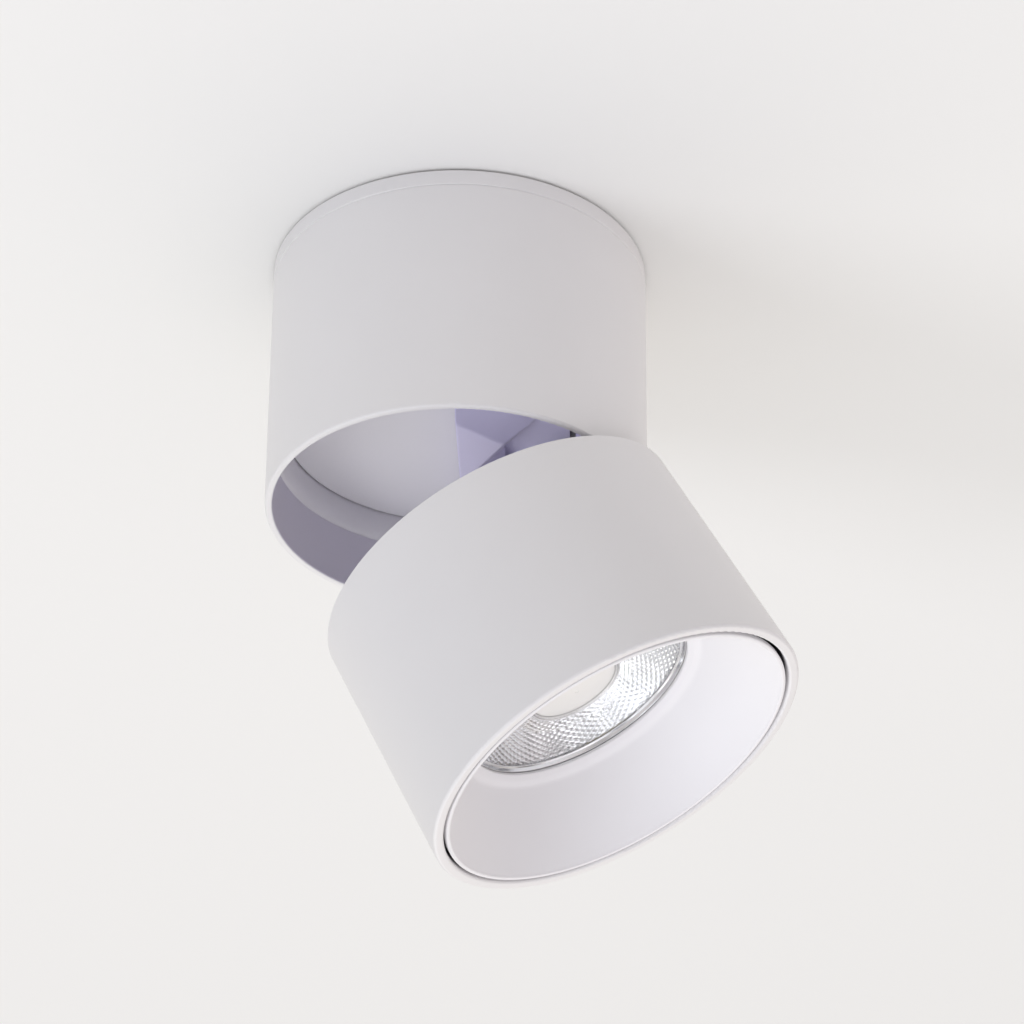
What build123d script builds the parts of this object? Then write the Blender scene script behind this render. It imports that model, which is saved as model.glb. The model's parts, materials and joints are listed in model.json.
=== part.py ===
from build123d import *
import math
import os

# Surface mounted ceiling spotlight: a can on the ceiling and a lamp head that folds out of it.
# Millimetres. The origin is the centre of the face that lies on the ceiling, +Z is up, and the head
# leans towards +X. The head is modelled closed, in line with the can, and then tilted open.

# ---- driving dimensions -------------------------------------------------------------------------

# can
can_radius = 50.0            # outside
can_height = 73.3            # ceiling to lower rim
can_wall = 2.0
can_rim_round = 0.7          # outer edge of the lower rim
plate_rim = 4.4              # visible height of the mounting plate
plate_thickness = 2.0
plate_rim_width = 3.5
seam_chamfer = 0.3           # edges either side of the seam
cavity_depth = 25.1          # lower rim up to the turntable
ring_depth = 17.2            # lower rim up to the lower edge of the ring
ring_width = 2.0

# ceiling interface
slot_spacing = 50.0          # between the centres of the two screw slots
slot_width = 5.0
slot_length = 12.0
cable_hole_radius = 7.5
cable_bore_radius = 4.0      # through the grommet
cable_y = 20.0

# chassis and driver
chassis_thickness = 1.5
boss_radius = 4.0
driver_height = 21.0
driver_wall = 1.5
driver_end_margin = 16.0     # can wall to the ends of the driver
driver_side_margin = 21.0    # can wall to the far side of the driver
driver_width = 36.0
board_thickness = 1.6
terminal_depth = 12.0
terminal_height = 12.0
terminal_length = 28.0

# swivel
bearing_thickness = 2.0
thrust_height = 2.0
turntable_thickness = 2.2
stem_radius = 7.0
stem_bore = 4.6
stem_length = 11.0
nut_height = 4.0
nut_flats = 19.0

# hinge
hinge_inset = 13.0           # outside of the can to the hinge axis
hinge_height = 14.6          # lower rim up to the hinge axis
hinge_pin_radius = 2.0
hub_radius = 5.0
lug_radius = 5.5
lug_width = 6.0
arm_width = 10.0
arm_thickness = 7.0
arm_channel = 4.6            # width of the channel that holds the lead
bracket_thickness = 4.3
bracket_depth = 11.8         # turntable down to the lowest facet of the bracket
rest_tilt = 27.5             # degrees open

# lamp head
closed_gap = 1.5             # can rim to head edge when folded shut
head_inset = 0.2             # the head is this much smaller than the can at the hinge end
head_flare = 2.4             # the mouth is this much larger
head_length = 65.8
head_wall = 2.0
mouth_wall = 2.9
head_rim_round = 0.9
back_recess = 5.0            # back plate below the edge of the shell
back_thickness = 1.5
flange_width = 7.0
flange_thickness = 2.0
sink_height = 13.5           # below the flange, fins and base
sink_base = 4.0
sink_margin = 2.0            # shell to the base of the heat sink
fin_thickness = 1.6
fin_room = 1.0               # flange to the tops of the fins
fin_pitch = 5.0
optic_radius = 31.6          # rim of the reflector
optic_depth = 18.2           # heat sink face to the reflector's rim
reflector_wall = 1.0
reflector_rim = 0.5          # inside of the chrome ring to the bowl
throat_radius = 8.5
glass_thickness = 1.5
ring_lip = 2.5               # rim of the reflector to the inside of the chrome ring
centre_radius = 12.1
throat_lip = 0.6             # rim of the reflector to the throat of the anti-glare cone
collar_width = 2.5           # rim of the reflector to the foot of the cone
baffle_gap = 0.45            # shadow gap round the mouth
baffle_wall = 1.3

# clearances
seat_gap = 0.3               # between pieces that are held but don't bear
face_gap = 0.1               # round a piece that is dropped into another
pin_gap = 0.06               # running fit, on the radius
thrust_gap = 0.05            # running face
side_gap = 0.5               # between the arm and a lug, filled by a washer
sweep_gap = 1.2              # between the arm and the can's rim when fully open
ring_gap = 0.4               # round the turntable

# screws and leads
screw_radius = 1.5
screw_head_radius = 2.6
screw_head_height = 1.4
sink_hole_length = 20.0
pan_head_radius = 2.7
pan_head_height = 1.7
pan_head_round = 0.6
lead_radius = 1.2
core_radius = 0.9
least_turn = 0.5             # degrees; a smaller turn in a lead's route is none
driver_bit = 1.0             # radius of a screw's recess
bit_depth = 0.9
overrun = 1.0                # cutters pass the faces they cut by this much

# ---- derived levels -----------------------------------------------------------------------------

can_bore = can_radius - can_wall
rim_z = -can_height
seam_z = -plate_rim
chassis_z = seam_z - chassis_thickness
face_z = rim_z + cavity_depth
table_z = face_z + turntable_thickness
bearing_z = table_z + thrust_height
bearing_top = bearing_z + bearing_thickness
ring_z = rim_z + ring_depth
ring_bore = can_bore - face_gap - ring_width
table_radius = ring_bore - ring_gap
stem_top = table_z + stem_length
hinge_x = can_radius - hinge_inset
hinge_z = rim_z + hinge_height
boss_ring = can_bore - boss_radius + 0.6
boss_angles = (0, 120, 240)
head_z = rim_z - closed_gap
arm_reach = hinge_height + sweep_gap
head_radius = can_radius - head_inset
shell_bore = head_radius - head_wall
mouth_bore = head_radius + head_flare - mouth_wall
flange_s = back_recess + back_thickness
sink_top_s = flange_s + flange_thickness
sink_face_s = sink_top_s + sink_height
reflector_s = sink_face_s + optic_depth
glass_s = reflector_s + 1.0
glass_end_s = glass_s + glass_thickness
ring_end_s = glass_end_s + 1.3
lens_opening = optic_radius - ring_lip
baffle_throat = optic_radius - throat_lip
baffle_collar = optic_radius + collar_width
baffle_outer = mouth_bore - baffle_gap
baffle_mouth = baffle_outer - 0.15


# ---- helpers ------------------------------------------------------------------------------------

def disc(radius, high, low, x=0.0, y=0.0):
    """Upright cylinder between two levels."""
    return Pos(x, y, (high + low) / 2) * Cylinder(radius, abs(high - low))


def bore(radius, high, low, x=0.0, y=0.0):
    """Cutter for a hole right through from one level to another."""
    return disc(radius, high + overrun, low - overrun, x, y)


def ring(outer, inner, high, low, x=0.0, y=0.0):
    """Upright tube between two levels."""
    return disc(outer, high, low, x, y) - bore(inner, high, low, x, y)


def block(x_range, y_range, z_range):
    """Box between pairs of limits."""
    spans = [max(pair) - min(pair) for pair in (x_range, y_range, z_range)]
    middle = [(pair[0] + pair[1]) / 2 for pair in (x_range, y_range, z_range)]
    return Pos(*middle) * Box(*spans)


def turned(points):
    """Solid of revolution about Z from a closed outline of (radius, level) points."""
    outline = Polyline([(radius, 0, level) for radius, level in points], close=True)
    return revolve(make_face(outline), Axis.Z, 360)


def crossbar(radius, y_range, x, z):
    """Cylinder along Y."""
    length = abs(y_range[1] - y_range[0])
    return Pos(x, (y_range[0] + y_range[1]) / 2, z) * Rot(90, 0, 0) * Cylinder(radius, length)


def polar(radius, angle):
    """Plan position at a radius and an angle in degrees."""
    return radius * math.cos(math.radians(angle)), radius * math.sin(math.radians(angle))


def group(solids):
    """Separate solids that share one node."""
    return Compound(children=[piece for solid in solids for piece in solid.solids()])


def countersink(length):
    """Countersunk head and shank that hang from the origin."""
    hanging = (Align.CENTER, Align.CENTER, Align.MAX)
    head = Cone(screw_radius, screw_head_radius, screw_head_height, align=hanging)
    return head + Cylinder(screw_radius, length, align=hanging)


def in_face(piece, x, y, top, up):
    """Sets a piece that hangs from the origin into a face, running down, or up, from it."""
    turn = Rot(180, 0, 0) if up else Rot(0, 0, 0)
    return Pos(x, y, top) * turn * piece


def flush_screw(x, y, top, length, up=False):
    """Countersunk screw whose head is flush with a face."""
    screw = countersink(length) - disc(driver_bit, overrun, -bit_depth)
    return in_face(screw, x, y, top, up)


def sink_hole(x, y, top, up=False):
    """Countersunk clearance hole for a flush screw, right through the piece."""
    return in_face(countersink(sink_hole_length), x, y, top, up)


def pan_screw(x, y, seat, length):
    """Pan head screw that runs down from its seat."""
    head = disc(pan_head_radius, seat + pan_head_height, seat, x, y)
    head = fillet(head.edges().group_by(Axis.Z)[-1], pan_head_round)
    recess = disc(driver_bit, seat + pan_head_height + overrun, seat + pan_head_height - bit_depth, x, y)
    return head + disc(screw_radius, seat, seat - length, x, y) - recess


def lead(points, radii, radius):
    """Insulated lead along straight runs joined by arcs. A corner in line with its runs is passed over."""
    kept = [points[0]]
    bends = []
    for corner, after, bend in zip(points[1:-1], points[2:], radii):
        before_run = Vector(*corner) - Vector(*kept[-1])
        after_run = Vector(*after) - Vector(*corner)
        if before_run.get_angle(after_run) > least_turn:
            kept.append(corner)
            bends.append(bend)
    kept.append(points[-1])
    route = FilletPolyline(*kept, radius=bends, close=False)
    start = Plane(origin=route @ 0, z_dir=route % 0)
    tube = sweep(start * Circle(radius), path=route)
    expected = math.pi * radius ** 2 * route.length
    print(f"lead: length {route.length:.1f}, volume / (section x length) {tube.volume / expected:.5f}")
    return tube


def tilted(piece):
    """Moves a piece of the closed head to the tilt it rests at."""
    return piece.rotate(Axis((hinge_x, 0, hinge_z), (0, -1, 0)), rest_tilt)


def in_head(piece):
    """Places a piece drawn with its depth below the head's edge as -Z, and tilts it."""
    return tilted(Pos(0, 0, head_z) * piece)


def save(name, shape):
    """Writes one node."""
    shape.label = name
    export_step(shape, f"parts/{name}.step")


# ---- can ----------------------------------------------------------------------------------------

shoulder_ring = can_bore - 10.0
shoulder_angles = (60, 180, 300)
shoulder_radius = 2.0
shoulder_head = 4.0
shoulder_head_height = 2.0
shoulder_slot = 0.5          # half width of the slot in the head
keyhole_turn = 12            # degrees that the can turns onto the shoulder screws
keyhole_step = 3
stud_radius = 2.0
stud_length = 6.0
stud_nut_height = 1.4
stud_nut_radius = 3.9
short_of_ceiling = 0.2       # studs and screws end below the ceiling by this much
grommet_lip_width = 2.0
grommet_lip = 0.8
grommet_wall = 1.2
grommet_low = -4.2
access_radius = 5.5          # holes in the chassis over the slots, the cable and the stud
boss_depth = 9.0
rim_inner_round = 0.5
ring_round = 0.6


def mounting_plate():
    plate = turned([
        (0, 0),
        (can_radius, 0),
        (can_radius, seam_z + seam_chamfer),
        (can_radius - seam_chamfer, seam_z),
        (can_radius - plate_rim_width, seam_z),
        (can_radius - plate_rim_width, -plate_thickness),
        (0, -plate_thickness),
    ])
    plate -= disc(cable_hole_radius, overrun, seam_z, 0, cable_y)
    for side in (-1, 1):
        slot = Pos(side * slot_spacing / 2, 0, 0) * SlotOverall(slot_length, slot_width)
        plate -= extrude(slot, amount=can_height, both=True)
    for angle in shoulder_angles:
        plate -= disc(shoulder_radius, overrun, seam_z, *polar(shoulder_ring, angle))
    plate -= disc(stud_radius, overrun, seam_z, -cable_y, cable_y)
    return plate


def cable_grommet():
    lip_z = -plate_thickness - grommet_lip
    body = disc(cable_hole_radius, 0, -plate_thickness, 0, cable_y)
    body += disc(cable_hole_radius + grommet_lip_width, -plate_thickness, lip_z, 0, cable_y)
    body += disc(cable_bore_radius + grommet_wall, lip_z, grommet_low, 0, cable_y)
    return body - bore(cable_bore_radius, 0, grommet_low, 0, cable_y)


def earth_terminal():
    stud = disc(stud_radius, -short_of_ceiling, -stud_length, -cable_y, cable_y)
    nut = extrude(RegularPolygon(stud_nut_radius, 6), amount=stud_nut_height)
    return stud + Pos(-cable_y, cable_y, -plate_thickness - stud_nut_height) * nut


def shoulder_screws():
    screws = []
    head_low = chassis_z - shoulder_head_height
    for angle in shoulder_angles:
        x, y = polar(shoulder_ring, angle)
        shank = disc(shoulder_radius, -short_of_ceiling, chassis_z, x, y)
        head = disc(shoulder_head, chassis_z, head_low, x, y)
        slot = block(
            (x - shoulder_head * 0.75, x + shoulder_head * 0.75),
            (y - shoulder_slot, y + shoulder_slot),
            (head_low + bit_depth, head_low - overrun),
        )
        screws.append(shank + head - slot)
    return group(screws)


def housing_shell():
    wall = turned([
        (can_bore, seam_z),
        (can_radius - seam_chamfer, seam_z),
        (can_radius, seam_z - seam_chamfer),
        (can_radius, rim_z),
        (can_bore, rim_z),
    ])
    rim_edges = wall.edges().group_by(Axis.Z)[0].sort_by(SortBy.RADIUS)
    wall = fillet(rim_edges[-1], can_rim_round)
    rim_edges = wall.edges().filter_by(GeomType.CIRCLE).group_by(Axis.Z)[0].sort_by(SortBy.RADIUS)
    wall = fillet(rim_edges[0], rim_inner_round)
    for angle in boss_angles:
        x, y = polar(boss_ring, angle)
        wall += disc(boss_radius, chassis_z, bearing_top, x, y) & disc((can_bore + can_radius) / 2, 0, rim_z)
    for angle in boss_angles:
        x, y = polar(boss_ring, angle)
        wall -= disc(screw_radius, chassis_z + overrun, chassis_z - boss_depth, x, y)
        wall -= disc(screw_radius, bearing_top + boss_depth, bearing_top - overrun, x, y)
    return wall


def chassis_plate():
    plate = disc(can_bore - seat_gap, seam_z, chassis_z)
    for angle in shoulder_angles:
        for turn in range(0, keyhole_turn + 1, keyhole_step):
            x, y = polar(shoulder_ring, angle + turn)
            plate -= bore(shoulder_radius + seat_gap, seam_z, chassis_z, x, y)
        x, y = polar(shoulder_ring, angle + keyhole_turn + keyhole_step)
        plate -= bore(shoulder_head + seat_gap, seam_z, chassis_z, x, y)
    for angle in boss_angles:
        plate -= sink_hole(*polar(boss_ring, angle), seam_z)
    for x, y in driver_screw_places():
        plate -= sink_hole(x, y, seam_z)
    for side in (-1, 1):
        plate -= bore(access_radius, seam_z, chassis_z, side * slot_spacing / 2, 0)
    plate -= bore(access_radius, seam_z, chassis_z, 0, cable_y)
    plate -= bore(access_radius, seam_z, chassis_z, -cable_y, cable_y)
    plate -= sink_hole(0, terminal_y(), seam_z)
    for side in (-1, 1):
        plate -= sink_hole(side * clamp_screw_x, cable_y, seam_z)
    return plate


def chassis_screws():
    length = chassis_thickness + boss_depth - 1.5
    return group([flush_screw(*polar(boss_ring, angle), seam_z, length) for angle in boss_angles])


# ---- driver and terminals -----------------------------------------------------------------------

driver_top = chassis_z
driver_low = driver_top - driver_height
driver_half = can_bore - driver_end_margin
driver_y0 = -(can_bore - driver_side_margin)
driver_y1 = driver_y0 + driver_width
driver_y = (driver_y0 + driver_y1) / 2
driver_round = 2.5
driver_inner_round = 1.0
driver_screw_inset = 12.0
driver_screw_length = 7.0
driver_post_radius = 3.0
driver_post_height = 5.0
lid_z = driver_low + driver_wall
lid_post_height = 1.5
lid_post_inset = 4.0
lid_post_radius = 2.2
board_margin = 0.5           # case to the edge of the board
board_z = lid_z + lid_post_height
board_top = board_z + board_thickness
core_half = 8.0              # transformer: half its length, depth and height of the core
core_depth = 9.0
core_height = 13.0
window_half = 5.5
window_low = 3.0
window_high = 10.0
bobbin_depth = 10.5
bobbin_round = 1.5
capacitor_radius = 4.0
capacitor_height = 11.0
capacitor_round = 0.6
part_margin = 12.0           # end of the driver to the middle of the outer components
film_width = 6.0
film_height = 9.0
film_round = 0.8
choke_inset = 18.0
choke_y = 10.0
choke_radius = 4.5
choke_neck = 3.4
choke_height = 8.0
choke_rim = 1.2
rim_overlap = 0.2
terminal_inset = 12.0        # inside of the can to the middle of the terminal block
terminal_pitch = 9.0
terminal_well = 2.1          # radius of the wells that the screws stand in
terminal_head = 2.0
terminal_screw_y = 3.2
terminal_well_depth = 3.2
terminal_head_drop = 1.0     # outer face of the block to the screw's head
terminal_slot = 0.3
terminal_slot_depth = 0.7
terminal_lead_height = 6.0
terminal_chamfer = 1.5
terminal_screw_length = 6.0
clamp_screw_x = 9.5
clamp_half = 13.0
clamp_depth = 4.5
clamp_height = 3.0
clamp_round = 2.0
clamp_bore = 3.6
clamp_screw_length = 4.5


def driver_screw_places():
    """Plan positions of the driver's two fixing screws."""
    return [(side * (driver_half - driver_screw_inset), driver_y) for side in (-1, 1)]


def terminal_y():
    """Middle of the terminal block."""
    return can_bore - terminal_inset


def driver_case():
    case = block((-driver_half, driver_half), (driver_y0, driver_y1), (driver_low, driver_top))
    case = fillet(case.edges().filter_by(Axis.Z), driver_round)
    inside = block(
        (-driver_half + driver_wall, driver_half - driver_wall),
        (driver_y0 + driver_wall, driver_y1 - driver_wall),
        (driver_low - overrun, driver_top - driver_wall),
    )
    case -= fillet(inside.edges().filter_by(Axis.Z), driver_inner_round)
    post_top = driver_top - driver_wall
    for x, y in driver_screw_places():
        case += disc(driver_post_radius, post_top, post_top - driver_post_height, x, y)
        case -= disc(screw_radius, driver_top + overrun, driver_top - driver_screw_length + overrun, x, y)
    return case


def driver_lid():
    lid = block(
        (-driver_half + driver_wall + face_gap, driver_half - driver_wall - face_gap),
        (driver_y0 + driver_wall + face_gap, driver_y1 - driver_wall - face_gap),
        (driver_low, lid_z),
    )
    lid = fillet(lid.edges().filter_by(Axis.Z), driver_inner_round)
    for x, y in board_corners(lid_post_inset):
        lid += disc(lid_post_radius, board_z, lid_z, x, y)
    return lid


def board_corners(inset):
    """Plan positions at the corners of the driver's board."""
    half_x = driver_half - driver_wall - board_margin - inset
    half_y = driver_width / 2 - driver_wall - board_margin - inset
    return [(sx * half_x, driver_y + sy * half_y) for sx in (-1, 1) for sy in (-1, 1)]


def driver_board():
    corners = board_corners(0)
    xs = [corner[0] for corner in corners]
    ys = [corner[1] for corner in corners]
    return block((min(xs), max(xs)), (min(ys), max(ys)), (board_z, board_top))


def driver_transformer():
    levels = (board_top + window_low, board_top + window_high)
    across = (-window_half, window_half)
    core = block(
        (-core_half, core_half),
        (driver_y - core_depth, driver_y + core_depth),
        (board_top, board_top + core_height),
    )
    window = block(across, (driver_y - 2 * core_depth, driver_y + 2 * core_depth), levels)
    bobbin = block(across, (driver_y - bobbin_depth, driver_y + bobbin_depth), levels)
    return core - window + fillet(bobbin.edges().filter_by(Axis.Y), bobbin_round)


def driver_capacitors():
    pieces = []
    for side in (-1, 1):
        x = driver_half - part_margin
        can = disc(capacitor_radius, board_top + capacitor_height, board_top, x, driver_y + side * core_depth)
        pieces.append(fillet(can.edges().group_by(Axis.Z)[-1], capacitor_round))
    film = block(
        (-driver_half + part_margin - film_width, -driver_half + part_margin),
        (driver_y - film_width, driver_y + film_width),
        (board_top, board_top + film_height),
    )
    pieces.append(fillet(film.edges().group_by(Axis.Z)[-1], film_round))
    return group(pieces)


def driver_choke():
    x = -driver_half + choke_inset
    y = driver_y + choke_y
    high = board_top + choke_height
    spool = disc(choke_radius, board_top + choke_rim, board_top, x, y)
    spool += disc(choke_neck, high - choke_rim + rim_overlap, board_top + choke_rim - rim_overlap, x, y)
    return spool + disc(choke_radius, high, high - choke_rim, x, y)


def driver_screws():
    return group([flush_screw(x, y, seam_z, driver_screw_length) for x, y in driver_screw_places()])


def terminal_poles():
    """Positions along the block of its three poles."""
    return [-terminal_pitch, 0.0, terminal_pitch]


def terminal_screw_places():
    """Plan positions of the six terminal screws."""
    return [(x, terminal_y() + side * terminal_screw_y) for x in terminal_poles() for side in (-1, 1)]


def terminal_block():
    y = terminal_y()
    half = terminal_length / 2
    low = chassis_z - terminal_height
    body = block((-half, half), (y - terminal_depth / 2, y + terminal_depth / 2), (low, chassis_z))
    body = chamfer(body.edges().filter_by(Axis.X).group_by(Axis.Z)[0], terminal_chamfer)
    for place in terminal_screw_places():
        body -= disc(terminal_well, low + terminal_well_depth, low - overrun, *place)
    for x in terminal_poles():
        way = (y - terminal_depth / 2 - overrun, y + terminal_depth / 2 + overrun)
        body -= crossbar(core_radius, way, x, low + terminal_lead_height)
    fixing_depth = terminal_screw_length - chassis_thickness
    return body - disc(screw_radius, chassis_z + overrun, chassis_z - fixing_depth, 0, y)


def terminal_screws():
    low = chassis_z - terminal_height
    head_low = low + terminal_head_drop
    screws = []
    for x, y in terminal_screw_places():
        head = disc(terminal_head, low + terminal_well_depth, head_low, x, y)
        slot = block(
            (x - terminal_well, x + terminal_well),
            (y - terminal_slot, y + terminal_slot),
            (head_low + terminal_slot_depth, low),
        )
        screws.append(head - slot)
    return group(screws)


def terminal_fixing_screw():
    return flush_screw(0, terminal_y(), seam_z, terminal_screw_length)


def cord_clamp():
    low = chassis_z - clamp_height
    clamp = block((-clamp_half, clamp_half), (cable_y - clamp_depth, cable_y + clamp_depth), (low, chassis_z))
    clamp = fillet(clamp.edges().filter_by(Axis.Z), clamp_round)
    clamp -= bore(clamp_bore, chassis_z, low, 0, cable_y)
    for side in (-1, 1):
        clamp -= bore(screw_radius, chassis_z, low, side * clamp_screw_x, cable_y)
    return clamp


def cord_clamp_screws():
    places = [side * clamp_screw_x for side in (-1, 1)]
    return group([flush_screw(x, cable_y, seam_z, clamp_screw_length) for x in places])


def input_leads():
    """Two single leads from the terminals to the driver, each with a small sag."""
    sag = 3.5
    bend = 3.0
    y_block = terminal_y() - terminal_depth / 2
    level = chassis_z - terminal_height + terminal_lead_height
    span = y_block - driver_y1
    tubes = []
    for x in (terminal_poles()[0], terminal_poles()[2]):
        route = [
            (x, y_block, level),
            (x, y_block - span * 0.25, level),
            (x, y_block - span * 0.5, level - sag),
            (x, y_block - span * 0.75, level),
            (x, driver_y1, level),
        ]
        tubes.append(lead(route, [bend] * 3, core_radius))
    return group(tubes)


def output_lead():
    """Lead from the end of the driver, under it and down to the top of the stem."""
    bend = 4.0
    x_case = driver_half
    x_drop = (driver_half + boss_ring - boss_radius) / 2 + 0.3
    z_out = driver_low + 7.0
    z_run = driver_low - lead_radius - 1.0
    first_bend = x_drop - x_case - 0.6
    return lead(
        [
            (x_case, driver_y, z_out),
            (x_drop, driver_y, z_out),
            (x_drop, driver_y, z_run),
            (0, driver_y, z_run),
            (0, 0, z_run),
            (0, 0, stem_top + 0.5),
        ],
        [first_bend, bend, bend, bend],
        lead_radius,
    )


# ---- bearing and swivel -------------------------------------------------------------------------

stop_ring = can_bore - 6.0
stop_pin_radius = 1.0
stop_pin_gap = 0.4           # pin and tab to the plate opposite
stop_tab_half = 0.6
flange_radius = stem_radius + 4.0
flange_height = 1.0
thrust_width = 9.0
washer_height = 1.0
friction_width = 5.0
wave_width = 4.0
nut_chamfer = 3.4            # the nut's corners are turned down this much over its height
lead_x = stem_bore - lead_radius - 0.2
hole_radius = lead_radius + 0.5


def bearing_plate():
    plate = disc(can_bore - seat_gap, bearing_top, bearing_z)
    plate -= bore(stem_radius + pin_gap, bearing_top, bearing_z)
    for angle in boss_angles:
        plate -= sink_hole(*polar(boss_ring, angle), bearing_z, up=True)
    tab = block(
        (-stop_ring - stop_pin_radius, -stop_ring + stop_pin_radius),
        (-stop_tab_half, stop_tab_half),
        ((bearing_z + bearing_top) / 2, table_z + stop_pin_gap),
    )
    return plate + tab


def bearing_screws():
    length = bearing_thickness + boss_depth - 2.0
    return group([flush_screw(*polar(boss_ring, angle), bearing_z, length, up=True) for angle in boss_angles])


def cavity_ring():
    band = turned([
        (ring_bore, bearing_z),
        (can_bore - face_gap, bearing_z),
        (can_bore - face_gap, ring_z),
        (ring_bore, ring_z),
    ])
    return fillet(band.edges().group_by(Axis.Z)[0].sort_by(SortBy.RADIUS)[0], ring_round)


def turntable():
    plate = disc(table_radius, table_z, face_z)
    plate -= bore(hole_radius, table_z, face_z, lead_x, 0)
    plate -= bore(stop_pin_radius, table_z, face_z, stop_ring, 0)
    for x, y in bracket_screw_places():
        plate -= sink_hole(x, y, table_z)
    return plate


def swivel_stem():
    stem = disc(stem_radius, stem_top, table_z) + disc(flange_radius, table_z + flange_height, table_z)
    return stem - bore(stem_bore, stem_top, table_z)


def thrust_washer():
    inner = flange_radius + face_gap
    return ring(flange_radius + thrust_width, inner, bearing_z - thrust_gap, table_z)


def friction_washer():
    low = bearing_top + thrust_gap
    return ring(stem_radius + friction_width, stem_radius + pin_gap, bearing_top + washer_height, low)


def wave_washer():
    low = bearing_top + washer_height
    return ring(stem_radius + wave_width, stem_radius + pin_gap, low + washer_height, low)


def stem_nut():
    low = bearing_top + 2 * washer_height
    top_radius = nut_flats / 2 + 0.2
    upright = (Align.CENTER, Align.CENTER, Align.MIN)
    nut = extrude(RegularPolygon(nut_flats / math.sqrt(3), 6), amount=nut_height)
    nut &= Cone(top_radius + nut_chamfer, top_radius, nut_height, align=upright)
    return Pos(0, 0, low) * nut - bore(stem_radius, low + nut_height, low)


def stop_pin():
    return disc(stop_pin_radius, bearing_z - stop_pin_gap, face_z, stop_ring, 0)


# ---- hinge bracket ------------------------------------------------------------------------------

bracket_x0 = 0.5
bracket_radius = table_radius - 0.5
slab_z = face_z - bracket_thickness
facet_z = face_z - bracket_depth
near_rise = 0.9              # slope of the side facets
back_rise = 1.1              # slope of the facets towards the hinge
ridge_y = 21.0               # half length of the bracket's left edge, on the lowest facet
ridge_end = (12.7, 10.7)
notch_x = 5.9
slot_half = arm_width / 2 + side_gap
lug_outer = slot_half + lug_width
blend = 0.5                  # overlap of solids that are joined into one
bracket_screw_depth = 3.2    # into the bracket
pin_head_radius = 4.0
pin_head_height = 1.8
pin_head_round = 0.7


def bracket_screw_places():
    """Plan positions of the four screws that hold the bracket to the turntable."""
    return [(x, side * y) for x, y in ((9.0, 27.0), (29.0, 24.0)) for side in (-1, 1)]


def wedge_outline(level_drop, side):
    """Outline of one half of the facetted boss, level_drop above its lowest facet."""
    edge_x = ridge_end[0] - bracket_x0
    edge_y = ridge_y - ridge_end[1]
    edge_length = math.hypot(edge_x, edge_y)
    near_offset = level_drop / near_rise
    back_x = ridge_end[0] - notch_x
    back_length = math.hypot(back_x, ridge_end[1])
    back_offset = level_drop / back_rise
    start_y = ridge_y + near_offset * edge_length / edge_x
    notch = notch_x + back_offset * back_length / ridge_end[1]
    near_slope = edge_y / edge_x
    back_slope = ridge_end[1] / back_x
    corner_x = (start_y + near_slope * bracket_x0 + back_slope * notch) / (near_slope + back_slope)
    corner_y = back_slope * (corner_x - notch)
    return [
        (bracket_x0, 0),
        (bracket_x0, side * start_y),
        (corner_x, side * corner_y),
        (notch, 0),
    ]


def wedge(side):
    """One half of the facetted boss."""
    high = slab_z + blend
    levels = ((facet_z, 0.0), (high, high - facet_z))
    outlines = []
    for level, rise in levels:
        points = [(x, y, level) for x, y in wedge_outline(rise, side)]
        outlines.append(Wire(Polyline(points, close=True).edges()))
    return Solid.make_loft(outlines, ruled=True)


def hinge_bracket():
    half = block((bracket_x0, 2 * can_radius), (-can_radius, can_radius), (slab_z, face_z))
    body = half & disc(bracket_radius, face_z, slab_z)
    body += wedge(1)
    body += wedge(-1)
    for side in (-1, 1):
        span = (side * slot_half, side * lug_outer)
        lug = crossbar(lug_radius, span, hinge_x, hinge_z)
        lug += block((hinge_x - lug_radius, hinge_x + lug_radius), span, (hinge_z, slab_z + blend))
        body += lug
    slot_x = hinge_x - arm_reach - arm_thickness - 1.5
    slot_top = max(slab_z, hinge_z + arm_thickness / 2 + 0.8)
    slot_low = min(facet_z, hinge_z - lug_radius) - overrun
    across = (-slot_half, slot_half)
    body -= block((slot_x, hinge_x + lug_radius + overrun), across, (slot_top, slot_low))
    pocket_x = hinge_x - hub_radius - 2.2
    body -= block((pocket_x, hinge_x + hub_radius + 1.5), across, (face_z + overrun, slab_z - overrun))
    groove_half = hole_radius
    groove_floor = face_z - 2 * lead_radius - 1.0
    groove = (face_z + overrun, groove_floor)
    body -= block((lead_x, pocket_x + overrun), (-groove_half, groove_half), groove)
    body -= disc(groove_half, *groove, lead_x, 0)
    for x, y in bracket_screw_places():
        body -= disc(screw_radius, face_z + overrun, face_z - bracket_screw_depth - 0.2, x, y)
    for side in (-1, 1):
        pin_hole = (side * (slot_half - overrun), side * (lug_outer + overrun))
        head_room = (side * lug_outer, side * (lug_outer + pin_head_height + seat_gap))
        body -= crossbar(hinge_pin_radius, pin_hole, hinge_x, hinge_z)
        body -= crossbar(pin_head_radius + seat_gap, head_room, hinge_x, hinge_z)
    return body


def bracket_screws():
    length = turntable_thickness + bracket_screw_depth
    return group([flush_screw(x, y, table_z, length) for x, y in bracket_screw_places()])


def hinge_pins():
    pins = []
    for side in (-1, 1):
        inner = side * (arm_channel / 2 + 0.5)
        shank = crossbar(hinge_pin_radius, (inner, side * lug_outer), hinge_x, hinge_z)
        span = (side * lug_outer, side * (lug_outer + pin_head_height))
        head = crossbar(pin_head_radius, span, hinge_x, hinge_z)
        outer_edge = head.edges().filter_by(GeomType.CIRCLE).sort_by(Axis.Y)[-1 if side > 0 else 0]
        pins.append(shank + fillet(outer_edge, pin_head_round))
    return group(pins)


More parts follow.
